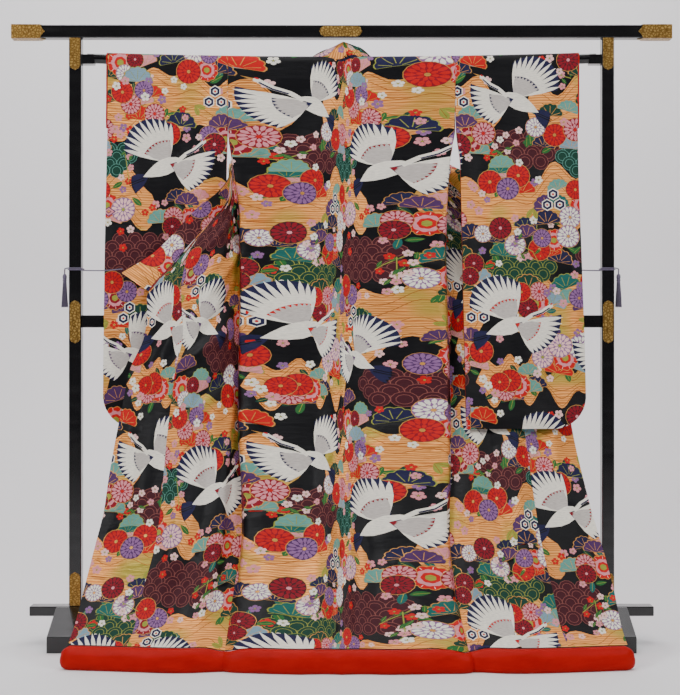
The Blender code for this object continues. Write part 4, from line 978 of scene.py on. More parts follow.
CLUSTERS = (
    # x, y, spread
    (0.05, 0.035, 0.056), (0.30, 0.040, 0.060), (0.61, 0.235, 0.060), (0.36, 0.250, 0.052),
    (0.02, 0.455, 0.064), (0.26, 0.490, 0.056), (0.44, 0.555, 0.056), (0.32, 0.650, 0.056),
    (0.60, 0.560, 0.060), (0.04, 0.715, 0.052), (0.32, 0.885, 0.060), (0.61, 0.890, 0.056),
    (0.46, 0.385, 0.046), (0.17, 0.215, 0.046), (0.10, 0.130, 0.040), (0.53, 0.735, 0.046),
    (0.14, 0.815, 0.040), (0.47, 0.980, 0.046),
)
CREST_SETS = ((0.335, 0.135), (0.60, 0.440), (0.095, 0.770), (0.37, 0.770))
FLOWER_COLOURS = (
    ("red", "crimson", "line"), ("pink", "crimson", "red"), ("pale_pink", "lilac", "lime"),
    ("white", "lilac", "line"), ("crimson", "maroon", "pink"), ("lilac", "purple", "line"),
)
PINE_COLOURS = ("red", "teal", "purple", "pale_teal", "deep_green", "pink", "navy", "sky")


def cluster(at, spread, seed):
    """Leaves, pines, chrysanthemums and small blossoms crowded round one place."""
    pick = random.Random(seed)

    taken = []

    def near(share, room, stretch=1.25):
        """A free place near the middle, as far from earlier motifs as a few tries give."""
        best = None
        for _ in range(9):
            a = pick.uniform(0, 2 * math.pi)
            reach = spread * share * pick.uniform(0.1, 1.0)
            place = at + complex(math.cos(a) * stretch, math.sin(a) * 0.85) * reach
            clear = min([abs(place - other) - size for other, size in taken] + [1.0]) - room
            if best is None or clear > best[0]:
                best = (clear, place)
        taken.append((best[1], room))
        return best[1]

    found = []
    if pick.random() < 0.55:
        size = pick.uniform(0.062, 0.080)
        found += peony(near(0.3, size / 2), size, pick.uniform(0, 1),
                       pick.choice(("red", "crimson")), "pink", "lime")
    for _ in range(3):
        main, under, heart = pick.choice(FLOWER_COLOURS)
        size = pick.uniform(0.050, 0.072)
        found += chrysanthemum(near(0.9, size / 2), size, pick.uniform(0, 1), main, under, heart)
    pines = []
    for _ in range(4):
        size = pick.uniform(0.060, 0.088)
        pines += pine(near(1.25, size * 0.36), size, pick.uniform(-0.4, 0.4),
                      pick.choice(PINE_COLOURS), pick.choice(("line", "lime", "line")))
    leaves = []
    for _ in range(6):
        thread = pick.choice(("green", "deep_green", "teal", "green"))
        leaves += leaf(near(1.1, 0.012), pick.uniform(0.030, 0.046), pick.uniform(0, 6.28), thread)
    found = leaves + pines + found
    for _ in range(7):
        size = pick.uniform(0.020, 0.028)
        found += blossom(near(1.6, size / 2, 1.5), size, pick.uniform(0, 1),
                         pick.choice(("pale_pink", "pink", "white", "red", "lilac")))
    return found


def twig(at, angle, length, seed):
    """A thin branch of small blossoms and leaves over the dark ground."""
    pick = random.Random(seed)
    way = complex(math.cos(angle), math.sin(angle))
    line = [at + way * length * t + way * 1j * 0.012 * math.sin(5 * t) for t in (0, 0.3, 0.6, 1)]
    found = [("lime", stroke(line, 0.0022))]
    for k in range(7):
        t = (k + 0.5) / 7
        place = at + way * length * t + way * 1j * pick.uniform(-0.022, 0.022)
        if k % 2:
            found += leaf(place, 0.022, pick.uniform(0, 6.28), "green")
        else:
            found += blossom(place, 0.021, pick.uniform(0, 1),
                             pick.choice(("pale_pink", "pink", "red")))
    return found


def pattern():
    """All motifs of one repeat, lowest first."""
    found = []
    for row in BANDS:
        found += band(*row)
    for x, y, size, columns, rows, thread, edge in HEAPS:
        found += waves(complex(x, y), size, columns, rows, thread, edge)
    for k, (x, y, spread) in enumerate(CLUSTERS):
        found += cluster(complex(x, y), spread, 40 + k)
    for k, (x, y) in enumerate(((0.56, 0.03), (0.09, 0.27), (0.28, 0.58), (0.55, 0.62),
                                (0.20, 0.70), (0.40, 0.30))):
        found += twig(complex(x, y), 0.6 + k * 1.1, 0.11, 90 + k)
    for k, (x, y) in enumerate(CREST_SETS):
        found += hexagons(complex(x, y), 0.036)
        found += diamond(complex(x + 0.09, y + 0.03), 0.042, "purple", "pink")
        found += leaf(complex(x - 0.06, y + 0.02), 0.035, 0.3 + k, "lime", "bronze")
        found += leaf(complex(x - 0.06, y + 0.02), 0.035, 1.2 + k, "lime", "bronze")
    for x, y, size, angle, flip, patch in CRANES:
        found += crane(complex(x, y), size, angle, flip, patch)
    return found


# Cloth surfaces

def refined(grid, per_row, per_column):
    """More rows and columns on smooth curves through a grid of points."""
    points = np.array([[tuple(p) for p in line] for line in grid])

    def along(values, count):
        padded = np.concatenate([[2 * values[0] - values[1]], values,
                                 [2 * values[-1] - values[-2]]])
        steps = len(values) - 1
        found = []
        for i in range(steps):
            a, b, c, d = padded[i:i + 4]
            span = max(np.linalg.norm(c - b, axis=-1).mean(), 1e-9)
            before = np.linalg.norm(b - a, axis=-1).mean()
            after = np.linalg.norm(d - c, axis=-1).mean()
            tilt_b = (c - b) / span if i == 0 else (c - a) / (span + before)
            tilt_c = (c - b) / span if i == steps - 1 else (d - b) / (span + after)
            for k in range(count):
                t = k / count
                found.append(
                    b * (1 + 2 * t) * (1 - t) ** 2 + c * t * t * (3 - 2 * t)
                    + span * tilt_b * t * (1 - t) ** 2 - span * tilt_c * t * t * (1 - t)
                )
        found.append(values[-1])
        return np.array(found)

    rows = along(points, per_row)
    return np.swapaxes(along(np.swapaxes(rows, 0, 1), per_column), 0, 1)


class Surface:
    """A sheet of points read at any place, x across and y down the cloth, in metres."""

    def __init__(self, points, sign):
        self.points = points
        steps = np.linalg.norm(np.diff(points, axis=0), axis=2).mean(axis=1)
        down = np.concatenate([[0.0], np.cumsum(steps)])
        self.down = down[-1] - down
        self.length = down[-1]
        up = np.gradient(points, axis=0)
        across = np.gradient(points, axis=1)
        faces = np.cross(across, up)
        self.faces = sign * faces / np.maximum(np.linalg.norm(faces, axis=2), 1e-9)[..., None]

    def read(self, x, y, width):
        """Places and facing directions at cloth coordinates on a cloth of that width."""
        rows = np.interp(-y, -self.down, np.arange(len(self.down)))
        share = np.clip(x / width, 0.0, 1.0)
        columns = share * (self.points.shape[1] - 1)
        i = np.minimum(rows.astype(int), self.points.shape[0] - 2)
        j = np.minimum(columns.astype(int), self.points.shape[1] - 2)
        a = (rows - i)[:, None]
        b = (columns - j)[:, None]
        found = []
        for values in (self.points, self.faces):
            found.append(
                values[i, j] * (1 - a) * (1 - b) + values[i + 1, j] * a * (1 - b)
                + values[i, j + 1] * (1 - a) * b + values[i + 1, j + 1] * a * b
            )
        places_at, faces = found
        return places_at, faces / np.maximum(np.linalg.norm(faces, axis=1), 1e-9)[:, None]


def area(ring):
    """Signed area of an outline."""
    return 0.5 * sum((a.conjugate() * b).imag for a, b in zip(ring, ring[1:] + ring[:1]))


def divided(outline, motifs, extra):
    """Triangles of a field cut along every motif's outline, with the thread of each."""
    points = []
    faces = []
    for ring in [outline] + [ring for _, ring in motifs]:
        if area(ring) < 0:
            ring = ring[::-1]
        start = len(points)
        points += [Vector((p.real, p.imag)) for p in ring]
        faces.append(list(range(start, len(points))))
    points += [Vector((p.real, p.imag)) for p in extra]
    found = delaunay_2d_cdt(points, [], faces, 1, 1e-6, True)
    flat, _, triangles, _, _, sources = found
    kept = []
    threads = []
    for triangle, source in zip(triangles, sources):
        if 0 not in source:
            continue
        kept.append(tuple(triangle))
        threads.append(motifs[max(source) - 1][0] if max(source) else "black")
    return [complex(p[0], p[1]) for p in flat], kept, threads


def field(width, height, step):
    """Outline and inner points of a plain rectangle."""
    across = max(2, round(width / step))
    down = max(2, round(height / step))
    ring = [complex(width * k / across, 0) for k in range(across)]
    ring += [complex(width, height * k / down) for k in range(down)]
    ring += [complex(width * (1 - k / across), height) for k in range(across)]
    ring += [complex(0, height * (1 - k / down)) for k in range(down)]
    inner = [complex(width * i / across, height * j / down)
             for i in range(1, across) for j in range(1, down)]
    return ring, inner


def beside(face, normal, offset):
    """The part of a convex face where its distance along normal is at most offset."""
    found = []
    count = len(face)
    for k in range(count):
        here, there = face[k], face[(k + 1) % count]
        a = here.real * normal.real + here.imag * normal.imag - offset
        b = there.real * normal.real + there.imag * normal.imag - offset
        if a <= ON_LINE:
            found.append(here)
        if a * b < 0 and abs(a) > ON_LINE and abs(b) > ON_LINE:
            if (here.real, here.imag) > (there.real, there.imag):
                found.append(there + (here - there) * (b / (b - a)))
            else:
                found.append(here + (there - here) * (a / (a - b)))
    return found if len(found) > 2 else []


def convex_parts(outline):
    """The outline itself if it's convex, or else its triangles."""
    turns = []
    count = len(outline)
    for k in range(count):
        a, b, c = outline[k - 1], outline[k], outline[(k + 1) % count]
        turns.append(((b - a).conjugate() * (c - b)).imag)
    if min(turns) >= -1e-12 or max(turns) <= 1e-12:
        return [outline]
    flat, triangles, _ = divided(outline, [], [])
    return [[flat[v] for v in triangle] for triangle in triangles]


def woven_tile():
    """One repeat as triangles with their threads, made cell by cell; opposite edges match."""
    motifs = []
    for thread, outline in pattern():
        for part in convex_parts(outline):
            reach = (min(p.real for p in part), max(p.real for p in part),
                     min(p.imag for p in part), max(p.imag for p in part))
            motifs.append((thread, part, reach))
    found = []
    across, down = CELLS
    wide, high = TILE[0] / across, TILE[1] / down
    for column in range(across):
        for row in range(down):
            low = complex(wide * column, high * row)
            found += woven_cell(motifs, low, wide, high)
    return found


def woven_cell(motifs, low, wide, high):
    ring, inner = field(wide, high, GRID)
    near = []
    for thread, outline, (left, right, top, bottom) in motifs:
        for i in (-1, 0, 1):
            for j in (-1, 0, 1):
                shift = complex(i * TILE[0], j * TILE[1])
                if right + shift.real <= low.real or left + shift.real >= low.real + wide:
                    continue
                if bottom + shift.imag <= low.imag or top + shift.imag >= low.imag + high:
                    continue
                part = [p + shift - low for p in outline]
                for normal, offset in ((-1 + 0j, 0.0), (1 + 0j, wide), (-1j, 0.0), (1j, high)):
                    part = beside(part, normal, offset)
                    if not part:
                        break
                if part:
                    near.append((thread, part))
    flat, triangles, threads = divided(ring, near, inner)
    if near:
        threads = topmost(flat, triangles, near)
        flat, triangles = only_seen(ring, inner, (flat, triangles, threads))
        threads = topmost(flat, triangles, near)
    return [([flat[v] + low for v in triangle], thread)
            for triangle, thread in zip(triangles, threads)]


def topmost(flat, triangles, parts):
    """For each triangle, the thread of the last convex part that its middle lies in."""
    middles = np.array(flat)[np.array(triangles)].mean(axis=1)
    top = np.full(len(middles), -1)
    for k, (_, part) in enumerate(parts):
        if area(part) < 0:
            part = part[::-1]
        inside = np.ones(len(middles), dtype=bool)
        for a, b in zip(part, part[1:] + part[:1]):
            inside &= ((b - a).conjugate() * (middles - a)).imag >= 0
        top[inside] = k
    return [parts[k][0] if k >= 0 else "black" for k in top]


def only_seen(ring, inner, first):
    """The same cell cut only where the thread changes, without lines under other motifs."""
    flat, triangles, threads = first
    sides = {}
    for k, (a, b, c) in enumerate(triangles):
        for edge in ((a, b), (b, c), (c, a)):
            sides.setdefault(frozenset(edge), []).append(k)
    near = {}
    edge_points = {}
    for edge, owners in sides.items():
        a, b = edge
        if len(owners) == 2 and threads[owners[0]] != threads[owners[1]]:
            near.setdefault(a, set()).add(b)
            near.setdefault(b, set()).add(a)
        elif len(owners) == 1:
            for v in edge:
                edge_points.setdefault(v, set()).add(threads[owners[0]])
    fixed = {v for v in edge_points if len(edge_points[v]) > 1 or v in near}
    for v in list(near):
        if v in fixed or v in edge_points or len(near[v]) != 2:
            continue
        a, b = near[v]
        span = flat[b] - flat[a]
        if abs(span) < 1e-7 or b in near[a]:
            continue
        off = (span.conjugate() * (flat[v] - flat[a])).imag / abs(span)
        if abs(off) < FINEST:
            for end, other in ((a, b), (b, a)):
                near[end].discard(v)
                near[end].add(other)
            del near[v]
    ring_keys = {(round(p.real, 6), round(p.imag, 6)) for p in ring}
    kept = [v for v in edge_points
            if v in fixed and (round(flat[v].real, 6), round(flat[v].imag, 6)) not in ring_keys]
    corners = {p.real for p in ring}, {p.imag for p in ring}
    wide, high = max(corners[0]), max(corners[1])

    def along(p):
        if abs(p.imag) < 1e-7:
            return p.real
        if abs(p.real - wide) < 1e-7:
            return wide + p.imag
        if abs(p.imag - high) < 1e-7:
            return 2 * wide + high - p.real
        return 2 * wide + 2 * high - p.imag

    border = sorted(ring + [flat[v] for v in kept], key=along)
    points = list(border)
    number = {}
    for v in near:
        number[v] = len(points)
        points.append(flat[v])
    lines = [(number[a], number[b]) for a in near for b in near[a] if a < b]
    vectors = [Vector((p.real, p.imag)) for p in points + inner]
    found = delaunay_2d_cdt(vectors, lines, [list(range(len(border)))], 1, 1e-6, True)
    new = [tuple(t) for t, source in zip(found[2], found[5]) if 0 in source]
    return [complex(p[0], p[1]) for p in found[0]], new


def cut_piece(tile, origin, size, bounds_lines, slices):
    """The endless pattern cut out to a panel: convex faces in the panel's coordinates."""
    walls = [(-1 + 0j, 0.0), (1 + 0j, size[0]), (-1j, 0.0), (1j, size[1])] + bounds_lines
    found = []
    for i in range(-2, 3):
        for j in range(-1, 4):
            shift = complex(i * TILE[0] - origin[0], j * TILE[1] - origin[1])
            if shift.real > size[0] or shift.real + TILE[0] < 0:
                continue
            if shift.imag > size[1] or shift.imag + TILE[1] < 0:
                continue
            for face, thread in tile:
                face = [p + shift for p in face]
                for normal, offset in walls:
                    reach = [p.real * normal.real + p.imag * normal.imag for p in face]
                    if min(reach) > offset - 1e-7:
                        face = []
                        break
                    if max(reach) > offset + 1e-7:
                        face = beside(face, normal, offset)
                        if not face:
                            break
                if face:
                    found.append((face, thread))
    for level in slices:
        split = []
        for face, thread in found:
            ys = [p.imag for p in face]
            if min(ys) < level - 1e-6 and max(ys) > level + 1e-6:
                for normal, offset in ((1j, level), (-1j, -level)):
                    part = beside(face, normal, offset)
                    if part:
                        split.append((part, thread))
            else:
                split.append((face, thread))
        found = split
    return found


def welded(faces):
    """Shared vertices for faces that meet, dropping those that have shrunk to nothing."""
    exact = {}
    buckets = {}
    flat = []

    def numbered(p):
        key = (round(p.real, 9), round(p.imag, 9))
        if key in exact:
            return exact[key]
        column, row = math.floor(p.real * 1e5), math.floor(p.imag * 1e5)
        for i in (column, column - 1, column + 1):
            for j in (row, row - 1, row + 1):
                for v in buckets.get((i, j), ()):
                    if abs(flat[v] - p) < WELD:
                        exact[key] = v
                        return v
        exact[key] = len(flat)
        buckets.setdefault((column, row), []).append(len(flat))
        flat.append(p)
        return exact[key]

    kept = []
    threads = []
    for face, thread in faces:
        ring = []
        for p in face:
            v = numbered(p)
            if v not in ring:
                ring.append(v)
        wide = max(flat[v].real for v in ring) - min(flat[v].real for v in ring)
        high = max(flat[v].imag for v in ring) - min(flat[v].imag for v in ring)
        if len(ring) > 2 and min(wide, high) > WELD:
            kept.append(ring)
            threads.append(thread)
    return flat, stitched(flat, kept), threads


def stitched(flat, faces):
    """Faces along a level or upright line take in the points that their neighbours have there."""
    uses = {}
    for ring in faces:
        for a, b in zip(ring, ring[1:] + ring[:1]):
            edge = (min(a, b), max(a, b))
            uses[edge] = uses.get(edge, 0) + 1

    def line_of(a, b):
        if abs(flat[a].real - flat[b].real) < WELD:
            return 0, round(flat[a].real * 1e5)
        if abs(flat[a].imag - flat[b].imag) < WELD:
            return 1, round(flat[a].imag * 1e5)
        return None

    on_lines = {}
    for (a, b), count in uses.items():
        line = line_of(a, b) if count == 1 else None
        if line:
            found = on_lines.setdefault(line, {})
            for v in (a, b):
                found[v] = flat[v].imag if line[0] == 0 else flat[v].real
    ordered = {line: sorted((at, v) for v, at in found.items())
               for line, found in on_lines.items()}
    made = []
    for ring in faces:
        whole = []
        for a, b in zip(ring, ring[1:] + ring[:1]):
            whole.append(a)
            edge = (min(a, b), max(a, b))
            line = line_of(*edge) if uses[edge] == 1 else None
            if line is None:
                continue
            start, end = on_lines[line][a], on_lines[line][b]
            row = ordered[line]
            low = bisect.bisect_right(row, (min(start, end) + WELD / 2, len(flat)))
            high = bisect.bisect_left(row, (max(start, end) - WELD / 2, -1))
            between = [v for _, v in row[low:high]]
            whole += between if start < end else between[::-1]
        made.append(tuple(whole))
    return made


def border(flat, size, lines):
    """The points on a convex panel's border, in order round it."""
    at = np.array(flat)
    on = np.zeros(len(flat), dtype=bool)
    walls = [(-1 + 0j, 0.0), (1 + 0j, size[0]), (-1j, 0.0), (1j, size[1]), *lines]
    for normal, offset in walls:
        on |= at.real * normal.real + at.imag * normal.imag > offset - 1e-5
    found = np.nonzero(on)[0]
    middle = at[found].mean()
    return [int(v) for v in found[np.argsort(np.angle(at[found] - middle))]]


MATERIALS = {}


def thread_slot(made, name):
    if name not in MATERIALS:
        MATERIALS[name] = lining_silk() if name == "lining" else thread_material(name)
    if MATERIALS[name].name not in made.data.materials:
        made.data.materials.append(MATERIALS[name])
    return made.data.materials.find(MATERIALS[name].name)


def lining_silk():
    colour = linear(196, 14, 8)
    made, main = shader("red_lining_silk", colour, 0.55)
    main.inputs["Specular IOR Level"].default_value = 0.15
    mottled(made, main, colour, 0.10, (30.0, 90.0, 30.0))
    weave_bump(made, main, 0.25, pitch=1500.0, pucker=0.2)
    return made


def shell(name, place, size, tile, origin, lines=(), slices=(), thickness=CLOTH, step=0.02):
    """A panel's figured outer side, its red lining and the turned edge between them.

    place gives points and facing directions for the panel's coordinates, x across, y down.
    """
    faces = cut_piece(tile, origin, size, list(lines), slices)
    flat, triangles, threads = welded(faces)
    loop = border(flat, size, lines)
    ring = [flat[v] for v in loop]
    across = max(2, round(size[0] / step))
    rows = sorted({round(size[1] * k / round(size[1] / step), 5)
                   for k in range(1, round(size[1] / step))} | {round(v, 5) for v in slices})
    extra = [complex(size[0] * i / across, y) for i in range(1, across) for y in rows]
    for normal, offset in lines:
        extra = [p for p in extra if p.real * normal.real + p.imag * normal.imag < offset - 0.004]
    below, lower, _ = divided(ring, [], extra)
    count = len(flat)
    both = np.array(flat + below)
    x, y = both.real, both.imag
    at, facing_to = place(x, y)
    half_thick = np.where(np.arange(len(both)) < count, 0.5, -0.5) * thickness
    at = at + facing_to * half_thick[:, None]
    apart = np.abs(np.array(ring)[:, None] - np.array(below)[None, :])
    under = dict(zip(loop, (apart.argmin(axis=1) + count).tolist()))
    rim = [(b, a, under[a], under[b]) for a, b in zip(loop, loop[1:] + loop[:1])
           if under[a] != under[b]]
    polygons = triangles + [(a + count, c + count, b + count) for a, b, c in lower] + rim
    some = np.array([ring[:3] for ring in triangles])
    turns = np.cross(at[some[:, 1]] - at[some[:, 0]], at[some[:, 2]] - at[some[:, 0]])
    if (turns * facing_to[some[:, 0]]).sum() < 0:
        polygons = [ring[::-1] for ring in polygons]
    mesh = bpy.data.meshes.new(name)
    mesh.from_pydata([tuple(p) for p in at], [], polygons)
    made = bpy.data.objects.new(name, mesh)
    bpy.context.scene.collection.objects.link(made)
    slots = {thread: thread_slot(made, thread) for thread in sorted(set(threads) | {"black"})}
    red = thread_slot(made, "lining")
    indices = [slots[thread] for thread in threads] + [red] * len(lower)
    indices += [slots["black"]] * len(rim)
    mesh.polygons.foreach_set("material_index", indices)
    layer = mesh.uv_layers.new(name="UVMap")
    corners = np.empty(len(mesh.loops), dtype=np.int32)
    mesh.loops.foreach_get("vertex_index", corners)
    pairs = np.stack([x + origin[0], -(y + origin[1])], axis=1)[corners]
    layer.data.foreach_set("uv", pairs.ravel())
    mesh.shade_smooth()
    mesh.set_sharp_from_angle(angle=math.radians(60))
    return made


# Creases: soft ridges and troughs from one place on a panel to another, in the panel's metres
# (x from the body's middle outward, y down from the shoulder): x, y, x, y, half width, height.
CREASES = {
    "back_left": (
        (0.03, 0.25, 0.06, 0.95, 0.022, 0.0025), (0.20, 0.10, 0.25, 0.80, 0.030, -0.0035),
        (0.29, 0.60, 0.27, 1.45, 0.018, 0.0045), (0.10, 1.05, 0.13, 1.70, 0.028, 0.0070),
        (0.18, 1.10, 0.20, 1.72, 0.024, -0.0060), (0.04, 1.30, 0.05, 1.74, 0.020, -0.0040),
        (0.25, 1.20, 0.27, 1.74, 0.018, 0.0050), (0.05, 0.06, 0.28, 0.13, 0.016, -0.0018),
    ),
    "back_right": (
        (0.05, 0.20, 0.03, 0.90, 0.024, -0.0025), (0.22, 0.12, 0.24, 0.85, 0.028, 0.0035),
        (0.28, 0.70, 0.26, 1.50, 0.020, -0.0045), (0.09, 1.10, 0.07, 1.72, 0.026, 0.0065),
        (0.16, 1.00, 0.17, 1.70, 0.022, -0.0055), (0.23, 1.25, 0.25, 1.74, 0.020, 0.0060),
        (0.06, 0.09, 0.27, 0.05, 0.016, -0.0018),
    ),
    "front_left": (
        (0.03, 0.62, 0.20, 0.78, 0.018, 0.0080), (0.02, 0.74, 0.24, 0.90, 0.020, -0.0075),
        (0.06, 0.86, 0.27, 0.98, 0.018, 0.0070), (0.04, 0.98, 0.22, 1.08, 0.018, -0.0060),
        (0.05, 1.05, 0.10, 1.70, 0.024, 0.0100), (0.14, 1.10, 0.19, 1.74, 0.026, -0.0090),
        (0.22, 1.00, 0.26, 1.70, 0.022, 0.0080), (0.12, 0.55, 0.28, 0.66, 0.014, 0.0050),
    ),
    "front_right": (
        (0.08, 1.10, 0.10, 1.74, 0.026, 0.0090), (0.16, 1.15, 0.19, 1.74, 0.024, -0.0080),
        (0.24, 1.05, 0.26, 1.72, 0.022, 0.0065), (0.05, 0.60, 0.20, 0.95, 0.022, -0.0060),
        (0.10, 0.75, 0.26, 1.05, 0.020, 0.0055),
    ),
    "okumi_left": (
        (0.03, 0.10, 0.06, 0.60, 0.018, 0.0050), (0.10, 0.35, 0.12, 1.10, 0.020, -0.0060),
        (0.05, 0.60, 0.06, 1.12, 0.018, 0.0055),
    ),
    "okumi_right": (
        (0.04, 0.20, 0.05, 0.80, 0.018, -0.0045), (0.10, 0.40, 0.11, 1.12, 0.020, 0.0060),
    ),
    "sleeve_left": (
        (0.05, 0.20, 0.08, 1.00, 0.026, 0.0045), (0.15, 0.10, 0.14, 1.02, 0.030, -0.0045),
        (0.26, 0.25, 0.24, 1.00, 0.028, 0.0050), (0.31, 0.05, 0.30, 0.50, 0.018, -0.0030),
    ),
    "sleeve_right": (
        (0.06, 0.15, 0.05, 1.00, 0.028, -0.0045), (0.16, 0.20, 0.18, 1.02, 0.030, 0.0050),
        (0.27, 0.10, 0.26, 0.95, 0.026, -0.0045), (0.32, 0.30, 0.31, 0.90, 0.016, 0.0030),
    ),
}
ROD_ARC = 0.0245       # of cloth from the crown of the rod to its side
CREASE = 1.3           # how deep the creases above are pressed
PUCKER = 0.0014        # height of the satin's fine unevenness


def relief(word, x, y, width, length, top_free=0.05):
    """How far a panel's creases lift it, fading out at its seams, at the rod and at the hem."""
    lift = np.zeros(len(x))
    for x0, y0, x1, y1, half_wide, height in CREASES.get(word, ()):
        ax, ay = x1 - x0, y1 - y0
        run = math.hypot(ax, ay)
        along = ((x - x0) * ax + (y - y0) * ay) / run
        off = ((x - x0) * ay - (y - y0) * ax) / run
        off = off + 0.010 * np.sin(along * 9.0 + x0 * 40)
        ends = np.clip(np.minimum(along, run - along) / (0.30 * run) + 0.35, 0.0, 1.0)
        lift += CREASE * height * np.exp(-((off / half_wide) ** 2)) * ends * ends * (3 - 2 * ends)
    seed = sum(ord(letter) for letter in word)
    fine = [
        noise.noise(Vector((a * 13, b * 48, seed))) * PUCKER
        + noise.noise(Vector((a * 6, b * 11, seed + 9.5))) * 2.2 * PUCKER
        for a, b in zip(x.tolist(), y.tolist())
    ]
    fade = np.clip(np.minimum(x, width - x) / 0.016, 0.0, 1.0)
    fade *= np.clip((y - 0.03) / top_free, 0.0, 1.0) * np.clip((length - y) / 0.03, 0.0, 1.0)
    return (lift + np.array(fine)) * fade


def panel(name, word, grid, side, width, tile, origin, finer=(4, 3), slices=None, lines=()):
    """One cut piece of the garment, from its sheet of points."""
    surface = Surface(refined(grid, *finer), side)
    return skin(name, word, surface, side, width, tile, origin, slices, lines)


def skin(name, word, surface, side, width, tile, origin, slices=None, lines=(), press=1):
    def place(x, y):
        outward = width - x if side < 0 else x
        at, faces = surface.read(outward, y, width)
        lift = relief(word, outward, y, width, surface.length) * press
        return at + faces * lift[:, None], faces

    if slices is None:
        slices = [0.0045 * k for k in range(1, 9)]
    made = shell(name, place, (width, surface.length), tile, origin, lines, slices)
    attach(made, "root")
    spans = np.linalg.norm(np.diff(surface.points, axis=1), axis=2).sum(axis=1)
    laid_out = float(np.mean(spans)) * surface.length
    if lines:
        laid_out -= (1 - math.pi / 4) * SLEEVE_CORNER**2
    return made


def sleeve_grid(side, way):
    """One sheet of a sleeve from its lower edge up to the crown of the rod."""
    word = "left" if side < 0 else "right"
    rows = []
    for k in range(100):
        z = SLEEVE_LOW + (ROD_Z - SLEEVE_LOW) * k / 99
        inner, outer = sleeve_side(word, "in", z), sleeve_side(word, "out", z)
        line = []
        for n in range(25):
            x = inner + (outer - inner) * n / 24
            down = z - SLEEVE_LOW
            near = down
            if z < WRIST_LOW:
                near = min(near, outer - x)
            else:
                near = min(near, math.hypot(outer - x, z - WRIST_LOW))
            rounding = math.hypot(x - (outer - SLEEVE_CORNER), down - SLEEVE_CORNER)
            if x > outer - SLEEVE_CORNER and down < SLEEVE_CORNER:
                near = max(SLEEVE_CORNER - rounding, 0.0)
            share = min(max(near, 0.0) / SLEEVE_FOLD[0], 1.0)
            gap = 0.0017 + (half_gap(z, 1.0) - 0.0017) * (share * (2 - share)) ** 0.7
            depth = sleeve_depth(word, x, z)
            line.append((side * x, forward(depth + way * gap), z - hang(x, z)))
        rows.append(line)
    for turn in (15, 30, 45, 60, 75, 90):
        line = []
        for n in range(25):
            inner, outer = sleeve_side(word, "in", ROD_Z), sleeve_side(word, "out", ROD_Z)
            x = inner + (outer - inner) * n / 24
            line.append(tuple(over_rod(side * x, turn, -way)))
        rows.append(line)
    return np.array(rows)


def sleeve_skins(side, tile):
    word = "left" if side < 0 else "right"
    width = sleeve_side(word, "out", 1.2) - sleeve_side(word, "in", 1.2)
    edge = []
    for way, sheet_word in ((1, "outer"), (-1, "inner")):
        surface = Surface(sleeve_grid(side, way), side * way)
        corner = complex(width - SLEEVE_CORNER, surface.length - SLEEVE_CORNER)
        lines = []
        for k in range(1, 9):
            a = math.pi / 2 * k / 9
            normal = complex(math.cos(a), math.sin(a))
            offset = (corner.conjugate() * normal).real + SLEEVE_CORNER
            if side < 0:
                mirrored = complex(width - corner.real, corner.imag)
                normal = complex(-normal.real, normal.imag)
                offset = (mirrored.conjugate() * normal).real + SLEEVE_CORNER
            lines.append((normal, offset))
        origin = (0.02 if side < 0 else -0.33, 0.0 if way > 0 else 0.47)
        skin(f"sleeve_{word}_{sheet_word}", f"sleeve_{word}", surface, side, width,
                         tile, origin, lines=lines, press=way)
        wrist = ROD_ARC + ROD_Z - WRIST_LOW
        ys = np.linspace(wrist, 0.0, 40)
        at, _ = surface.read(np.full(40, width), ys, width)
        edge.append(at)
    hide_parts(f"sleeve_{word}")
    path = list(edge[0]) + list(edge[1][::-1])[1:]
    mouth_edge(side, [Vector(p) for p in path])


def tube(name, path, radii, sides, closed=False):
    """A smooth tube along a path, with filled ends unless it is closed."""
    shape = bmesh.new()
    rings = []
    count = len(path)
    normal = None
    for i, point in enumerate(path):
        before = path[i - 1] if closed or i else path[0]
        after = path[(i + 1) % count] if closed or i < count - 1 else path[-1]
        along = (after - before).normalized()
        if normal is None:
            normal = along.orthogonal().normalized()
        normal = (normal - along * normal.dot(along)).normalized()
        across = along.cross(normal)
        ring = []
        for k in range(sides):
            a = 2 * math.pi * k / sides
            offset = (normal * math.cos(a) + across * math.sin(a)) * radii[i]
            ring.append(shape.verts.new(point + offset))
        rings.append(ring)
    for i in range(count if closed else count - 1):
        low, high = rings[i], rings[(i + 1) % count]
        turn = 0
        if closed and i == count - 1:
            turn = min(range(sides), key=lambda s: (low[0].co - high[s].co).length)
        for k in range(sides):
            n = (k + 1) % sides
            shape.faces.new((low[k], low[n], high[(n + turn) % sides], high[(k + turn) % sides]))
    if not closed:
        shape.faces.new(rings[0])
        shape.faces.new(rings[-1])
    bmesh.ops.recalc_face_normals(shape, faces=shape.faces)
    mesh = bpy.data.meshes.new(name)
    shape.to_mesh(mesh)
    shape.free()
    mesh.shade_smooth()
    made = bpy.data.objects.new(name, mesh)
    bpy.context.scene.collection.objects.link(made)
    return made


def mouth_edge(side, path):
    """The thin padded red edge of a sleeve's mouth, a little uneven like stuffed silk."""
    word = "left" if side < 0 else "right"
    moved = [p + Vector((side * (MOUTH_ROLL + 0.0003), 0, 0)) for p in path]
    radii = [MOUTH_ROLL * (1 + 0.12 * noise.noise(p * 60)) for p in moved]
    made = tube(f"mouth_edge_{word}", moved, radii, 10, closed=True)
    made.data.materials.append(vermilion())
    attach(made, "root")
    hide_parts(f"sleeve_edge_{word}")


def vermilion():
    if "vermilion_silk" in bpy.data.materials:
        return bpy.data.materials["vermilion_silk"]
    colour = linear(172, 6, 3)
    made, main = shader("vermilion_silk", colour, 0.5)
    main.inputs["Specular IOR Level"].default_value = 0.15
    mottled(made, main, colour, 0.10, (14.0, 14.0, 40.0), "Object")
    weave_bump(made, main, 0.25, pitch=1400.0, pucker=0.35, kind="Object")
    return made


